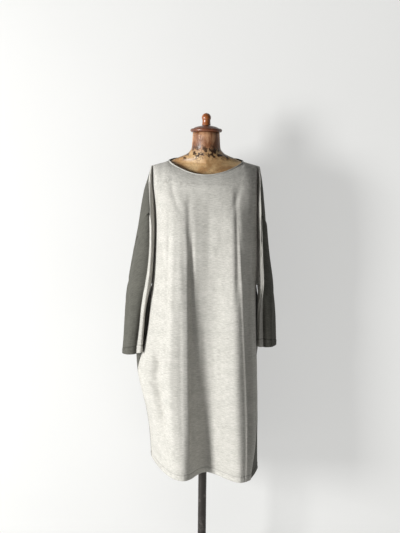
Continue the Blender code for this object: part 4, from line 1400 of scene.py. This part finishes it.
    def band_profile(self) -> list[tuple[float, float]]:
        """Outline the band's section, as shares of its height and distances from its middle."""
        half = self.band_half
        points = [(0.0, half * 0.8), (0.35, half), (0.75, half)]
        points += [(0.80 + 0.2 * math.sin(a), half * math.cos(a)) for a in (0.5, 1.0, 1.57, 2.1, 2.6)]
        points += [(0.75, -half), (0.35, -half), (0.0, -half * 0.8), (0.0, half * 0.8)]
        return points

    def build(self) -> list[bpy.types.Object]:
        """Make every piece of the garment and log the area of each."""
        front = self.make_panel(Layer.FRONT)
        back = self.make_panel(Layer.BACK)
        sleeves = [self.make_sleeve(layer, side) for side in Side for layer in Layer]
        bands = [self.make_band(layer) for layer in Layer]
        made = [front, back, *sleeves, *bands]
        for piece in made:
            LOG.info("%s: %.4f square metres", piece.name, sheet_area(piece))
        return made


class FormRow(NamedTuple):
    """A level section of the form: half width, depth in front and behind, and roundness."""

    height: float
    half_width: float
    front: float
    back: float
    round: float


FORM_ROWS = (
    FormRow(0.8000, 0.146, 0.060, 0.092, 2.3),
    FormRow(0.8060, 0.150, 0.064, 0.096, 2.3),
    FormRow(0.8700, 0.153, 0.070, 0.098, 2.3),
    FormRow(0.9400, 0.142, 0.070, 0.088, 2.3),
    FormRow(1.0400, 0.118, 0.066, 0.070, 2.3),
    FormRow(1.1000, 0.122, 0.074, 0.074, 2.3),
    FormRow(1.1800, 0.138, 0.098, 0.086, 2.3),
    FormRow(1.2500, 0.146, 0.108, 0.094, 2.3),
    FormRow(1.3300, 0.152, 0.096, 0.094, 2.2),
    FormRow(1.3900, 0.160, 0.084, 0.088, 2.1),
    FormRow(1.4300, 0.168, 0.072, 0.080, 2.0),
    FormRow(1.4550, 0.171, 0.062, 0.068, 1.8),
    FormRow(1.4700, 0.169, 0.055, 0.060, 1.3),
    FormRow(1.4775, 0.165, 0.052, 0.057, 1.2),
    FormRow(1.4817, 0.150, 0.051, 0.056, 1.15),
    FormRow(1.4870, 0.129, 0.051, 0.055, 1.2),
    FormRow(1.5000, 0.100, 0.051, 0.053, 1.45),
    FormRow(1.5170, 0.063, 0.050, 0.050, 1.7),
    FormRow(1.5350, 0.051, 0.048, 0.0475, 2.0),
    FormRow(1.5870, 0.0475, 0.0475, 0.0475, 2.0),
)


@dataclass
class Stand:
    """The dress form and what carries it: a smooth form with a turned cap and knob, on a metal pole."""

    finishes: Finishes
    sides: int = 96
    steps_between: int = 4
    shrink: float = 0.0012
    cap_base: float = 1.5876
    cap_radius: float = 0.0550
    bead: float = 0.0062
    bead_height: float = 1.5942
    dome_top: float = 1.6111
    knob_base: float = 1.6118
    knob_radius: float = 0.0160
    knob_middle: float = 1.6378
    stem_radius: float = 0.0148
    turns: int = 72
    bead_steps: int = 10
    dome_steps: int = 12
    ball_steps: int = 18
    lip: float = 0.0015
    stem_foot: float = 0.0004
    stem_step: float = 0.001

    def section(self, row: Sequence[float]) -> list[Vector]:
        """Place the points round one section of the form, a little inside the cloth."""
        height, half_width, front, back, power = row
        points = []
        for n in range(self.sides + 1):
            angle = math.tau * (n % self.sides) / self.sides
            c, s = math.cos(angle), math.sin(angle)
            depth = (front if s < 0 else back) - self.shrink
            x = (half_width - self.shrink) * math.copysign(abs(c) ** (2 / power), c)
            points.append(Vector((x, depth * math.copysign(abs(s) ** (2 / power), s), height)))
        return points

    def form_sections(self) -> list[list[float]]:
        """Read smooth curves through the form's rows."""
        heights, *columns = zip(*FORM_ROWS)
        sections = []
        for low, high in zip(heights, heights[1:]):
            for n in range(self.steps_between):
                z = mix(low, high, n / self.steps_between)
                sections.append([z] + [smooth_value(heights, column, z) for column in columns])
        return sections + [list(FORM_ROWS[-1])]

    def make_form(self) -> bpy.types.Object:
        """Make the closed torso with its neck."""
        rows = [self.section(row) for row in reversed(self.form_sections())]
        grid = as_array(rows)
        bm = bmesh.new()
        Cloth(name="form", grids=[], flats=[], ripple=0.0).lay(bm, grid, grid[..., :2] * 0)
        bmesh.ops.remove_doubles(bm, verts=bm.verts, dist=FORM_WELD)
        bmesh.ops.holes_fill(bm, edges=[edge for edge in bm.edges if edge.is_boundary], sides=0)
        bmesh.ops.recalc_face_normals(bm, faces=bm.faces)
        piece = finish_piece("form_body", bm, self.finishes.skin)
        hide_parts("form_torso")
        return piece

    def turn(
        self, name: str, profile: Sequence[tuple[float, float]], finish: bpy.types.Material
    ) -> bpy.types.Object:
        """Turn a profile round the form's axis.

        Args:
            name: The new piece's name.
            profile: Radius and height of each point, from the axis back to the axis.
            finish: The piece's material.

        Returns:
            The turned piece.
        """
        bm = bmesh.new()
        line = [bm.verts.new((radius, 0, height)) for radius, height in profile]
        edges = [bm.edges.new(pair) for pair in zip(line, line[1:])]
        bmesh.ops.spin(
            bm,
            geom=line + edges,
            cent=(0, 0, 0),
            axis=(0, 0, 1),
            angle=math.tau,
            steps=self.turns,
            use_merge=True,
        )
        bmesh.ops.remove_doubles(bm, verts=bm.verts, dist=TURNED_WELD)
        bmesh.ops.recalc_face_normals(bm, faces=bm.faces)
        for face in bm.faces:
            face.smooth = True
        return finish_piece(name, bm, finish)

    def make_cap(self) -> bpy.types.Object:
        """Turn the cap: a flat underside, a rounded bead for a rim and a low dome."""
        inner = self.cap_radius - self.bead
        profile = [(0.0, self.cap_base), (inner - 4 * self.lip, self.cap_base)]
        profile += [(inner - 2 * self.lip, self.cap_base + self.lip)]
        profile += [(inner - self.lip, self.bead_height - self.bead)]
        for n in range(self.bead_steps + 1):
            angle = math.radians(-80 + 190 * n / self.bead_steps)
            reach = inner + self.bead * math.cos(angle)
            profile.append((reach, self.bead_height + self.bead * math.sin(angle)))
        start_radius = inner - 0.0035
        start_height = self.bead_height + self.bead * 0.55
        for n in range(self.dome_steps + 1):
            angle = math.radians(90 * n / self.dome_steps)
            reach = start_radius * math.cos(angle) if n < self.dome_steps else 0.0
            profile.append((reach, start_height + (self.dome_top - start_height) * math.sin(angle)))
        piece = self.turn("form_cap", profile, self.finishes.cap)
        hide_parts("neck_cap")
        return piece

    def make_knob(self) -> bpy.types.Object:
        """Turn the knob: a short stout stem under a ball."""
        profile = [(0.0, self.knob_base), (self.stem_radius, self.knob_base)]
        profile += [(self.stem_radius + self.stem_foot, self.knob_base + self.stem_step)]
        low = self.knob_base + 2 * self.stem_step
        waist = self.stem_radius - self.stem_step
        neck = self.knob_middle - math.sqrt(self.knob_radius ** 2 - waist ** 2)
        profile += [(self.stem_radius, low), (waist, mix(low, neck, 0.6))]
        first = math.degrees(math.asin((neck - self.knob_middle) / self.knob_radius))
        for n in range(self.ball_steps + 1):
            angle = math.radians(mix(first, 90, n / self.ball_steps))
            reach = self.knob_radius * math.cos(angle) if n < self.ball_steps else 0.0
            profile.append((reach, self.knob_middle + self.knob_radius * math.sin(angle)))
        piece = self.turn("form_knob", profile, self.finishes.knob)
        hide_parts("cap_knob")
        return piece

    def dress_node(self, node: str, finish: bpy.types.Material) -> None:
        """Give a solid its finish."""
        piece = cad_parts[node]
        item = bpy.data.objects[piece] if isinstance(piece, str) else piece
        for slot in item.material_slots:
            slot.material = finish
        LOG.info("%s: finished with %s", node, finish.name)

    def build(self) -> None:
        """Make the form, cap and knob, and finish the solids of the pole and foot."""
        made = self.finishes
        for piece in (self.make_form(), self.make_cap(), self.make_knob()):
            LOG.info("%s: %d faces", piece.name, len(piece.data.polygons))
        for node, finish in (("pole", made.steel), ("pole_collar", made.steel), ("foot", made.iron)):
            self.dress_node(node, finish)


@dataclass
class Studio:
    """The pale stage, the soft light and the camera at the photograph's place."""

    plaster: bpy.types.Material
    eye: tuple[float, float, float] = (-0.0167, -2.8, 1.44)
    pitch: float = 6.5
    roll: float = 0.6
    pixels_focal: float = 800.0
    sensor: float = 24.0
    wall_y: float = 0.25
    wall_top: float = 3.2
    wall_joint: float = 1.5
    cove: float = 0.07
    cove_steps: int = 12
    width: float = 7.0
    depth: float = 4.0
    target: tuple[float, float, float] = (0.0, 0.0, 1.05)
    key_place: tuple[float, float, float] = (-3.15, -2.35, 1.30)
    key_size: tuple[float, float] = (0.9, 1.2)
    key_watts: float = 255.0
    fill: float = 0.10

    def make_stage(self) -> None:
        """Make the floor that sweeps up into the wall."""
        bm = bmesh.new()
        strip = bmesh.ops.create_grid(bm, x_segments=1, y_segments=self.cove_steps + 4, size=0.5)["verts"]
        rows = sorted({round(vert.co.y, 5) for vert in strip})
        path = [(-self.depth, 0.0), (0.0, 0.0)]
        for n in range(self.cove_steps + 1):
            angle = math.radians(90 * n / self.cove_steps)
            y = self.wall_y - self.cove + self.cove * math.sin(angle)
            path.append((y, self.cove * (1 - math.cos(angle))))
        path += [(self.wall_y, self.wall_joint), (self.wall_y, self.wall_top)]
        for vert in strip:
            y, z = path[rows.index(round(vert.co.y, 5))]
            vert.co = Vector((vert.co.x * self.width, y, z))
        for face in bm.faces:
            face.smooth = True
        mesh = bpy.data.meshes.new("stage")
        bm.to_mesh(mesh)
        bm.free()
        mesh.materials.append(self.plaster)
        stage = bpy.data.objects.new("stage", mesh)
        bpy.context.scene.collection.objects.link(stage)

    def make_light(self) -> None:
        """Aim one soft area light at the dress."""
        lamp = bpy.data.lights.new("key", "AREA")
        lamp.shape = "RECTANGLE"
        lamp.size, lamp.size_y = self.key_size
        lamp.energy = self.key_watts
        item = bpy.data.objects.new("key", lamp)
        bpy.context.scene.collection.objects.link(item)
        item.location = self.key_place
        aim = Vector(self.target) - Vector(self.key_place)
        item.rotation_euler = aim.to_track_quat("-Z", "Y").to_euler()

    def make_world(self) -> None:
        """Fill the shadows with a low even light."""
        world = bpy.data.worlds.new("studio fill")
        world.use_nodes = True
        back = world.node_tree.nodes["Background"]
        back.inputs["Color"].default_value = shade(1.0, 1.0, 1.0)
        back.inputs["Strength"].default_value = self.fill
        bpy.context.scene.world = world

    def make_camera(self) -> None:
        """Put the camera where the photograph was taken from."""
        data = bpy.data.cameras.new("camera")
        data.sensor_fit = "VERTICAL"
        data.sensor_height = self.sensor
        data.lens = self.pixels_focal / PHOTO_HEIGHT * self.sensor
        camera = bpy.data.objects.new("camera", data)
        bpy.context.scene.collection.objects.link(camera)
        tilt = Matrix.Rotation(math.radians(90 - self.pitch), 4, "X")
        roll = Matrix.Rotation(math.radians(self.roll), 4, "Z")
        camera.matrix_world = Matrix.Translation(self.eye) @ tilt @ roll
        bpy.context.scene.camera = camera

    def build(self) -> None:
        """Set the stage, the light and the camera."""
        self.make_stage()
        self.make_light()
        self.make_world()
        self.make_camera()
        bpy.context.scene.view_settings.view_transform = "Standard"


def main() -> None:
    """Build the dress, the stand and the studio in order."""
    logging.basicConfig(level=logging.INFO, format="%(name)s %(message)s")
    finishes = make_finishes()
    Studio(finishes.plaster).build()
    Stand(finishes).build()
    for piece in Dress(finishes).build():
        LOG.info("%s: %d faces", piece.name, len(piece.data.polygons))


if __name__ == "__main__":
    main()
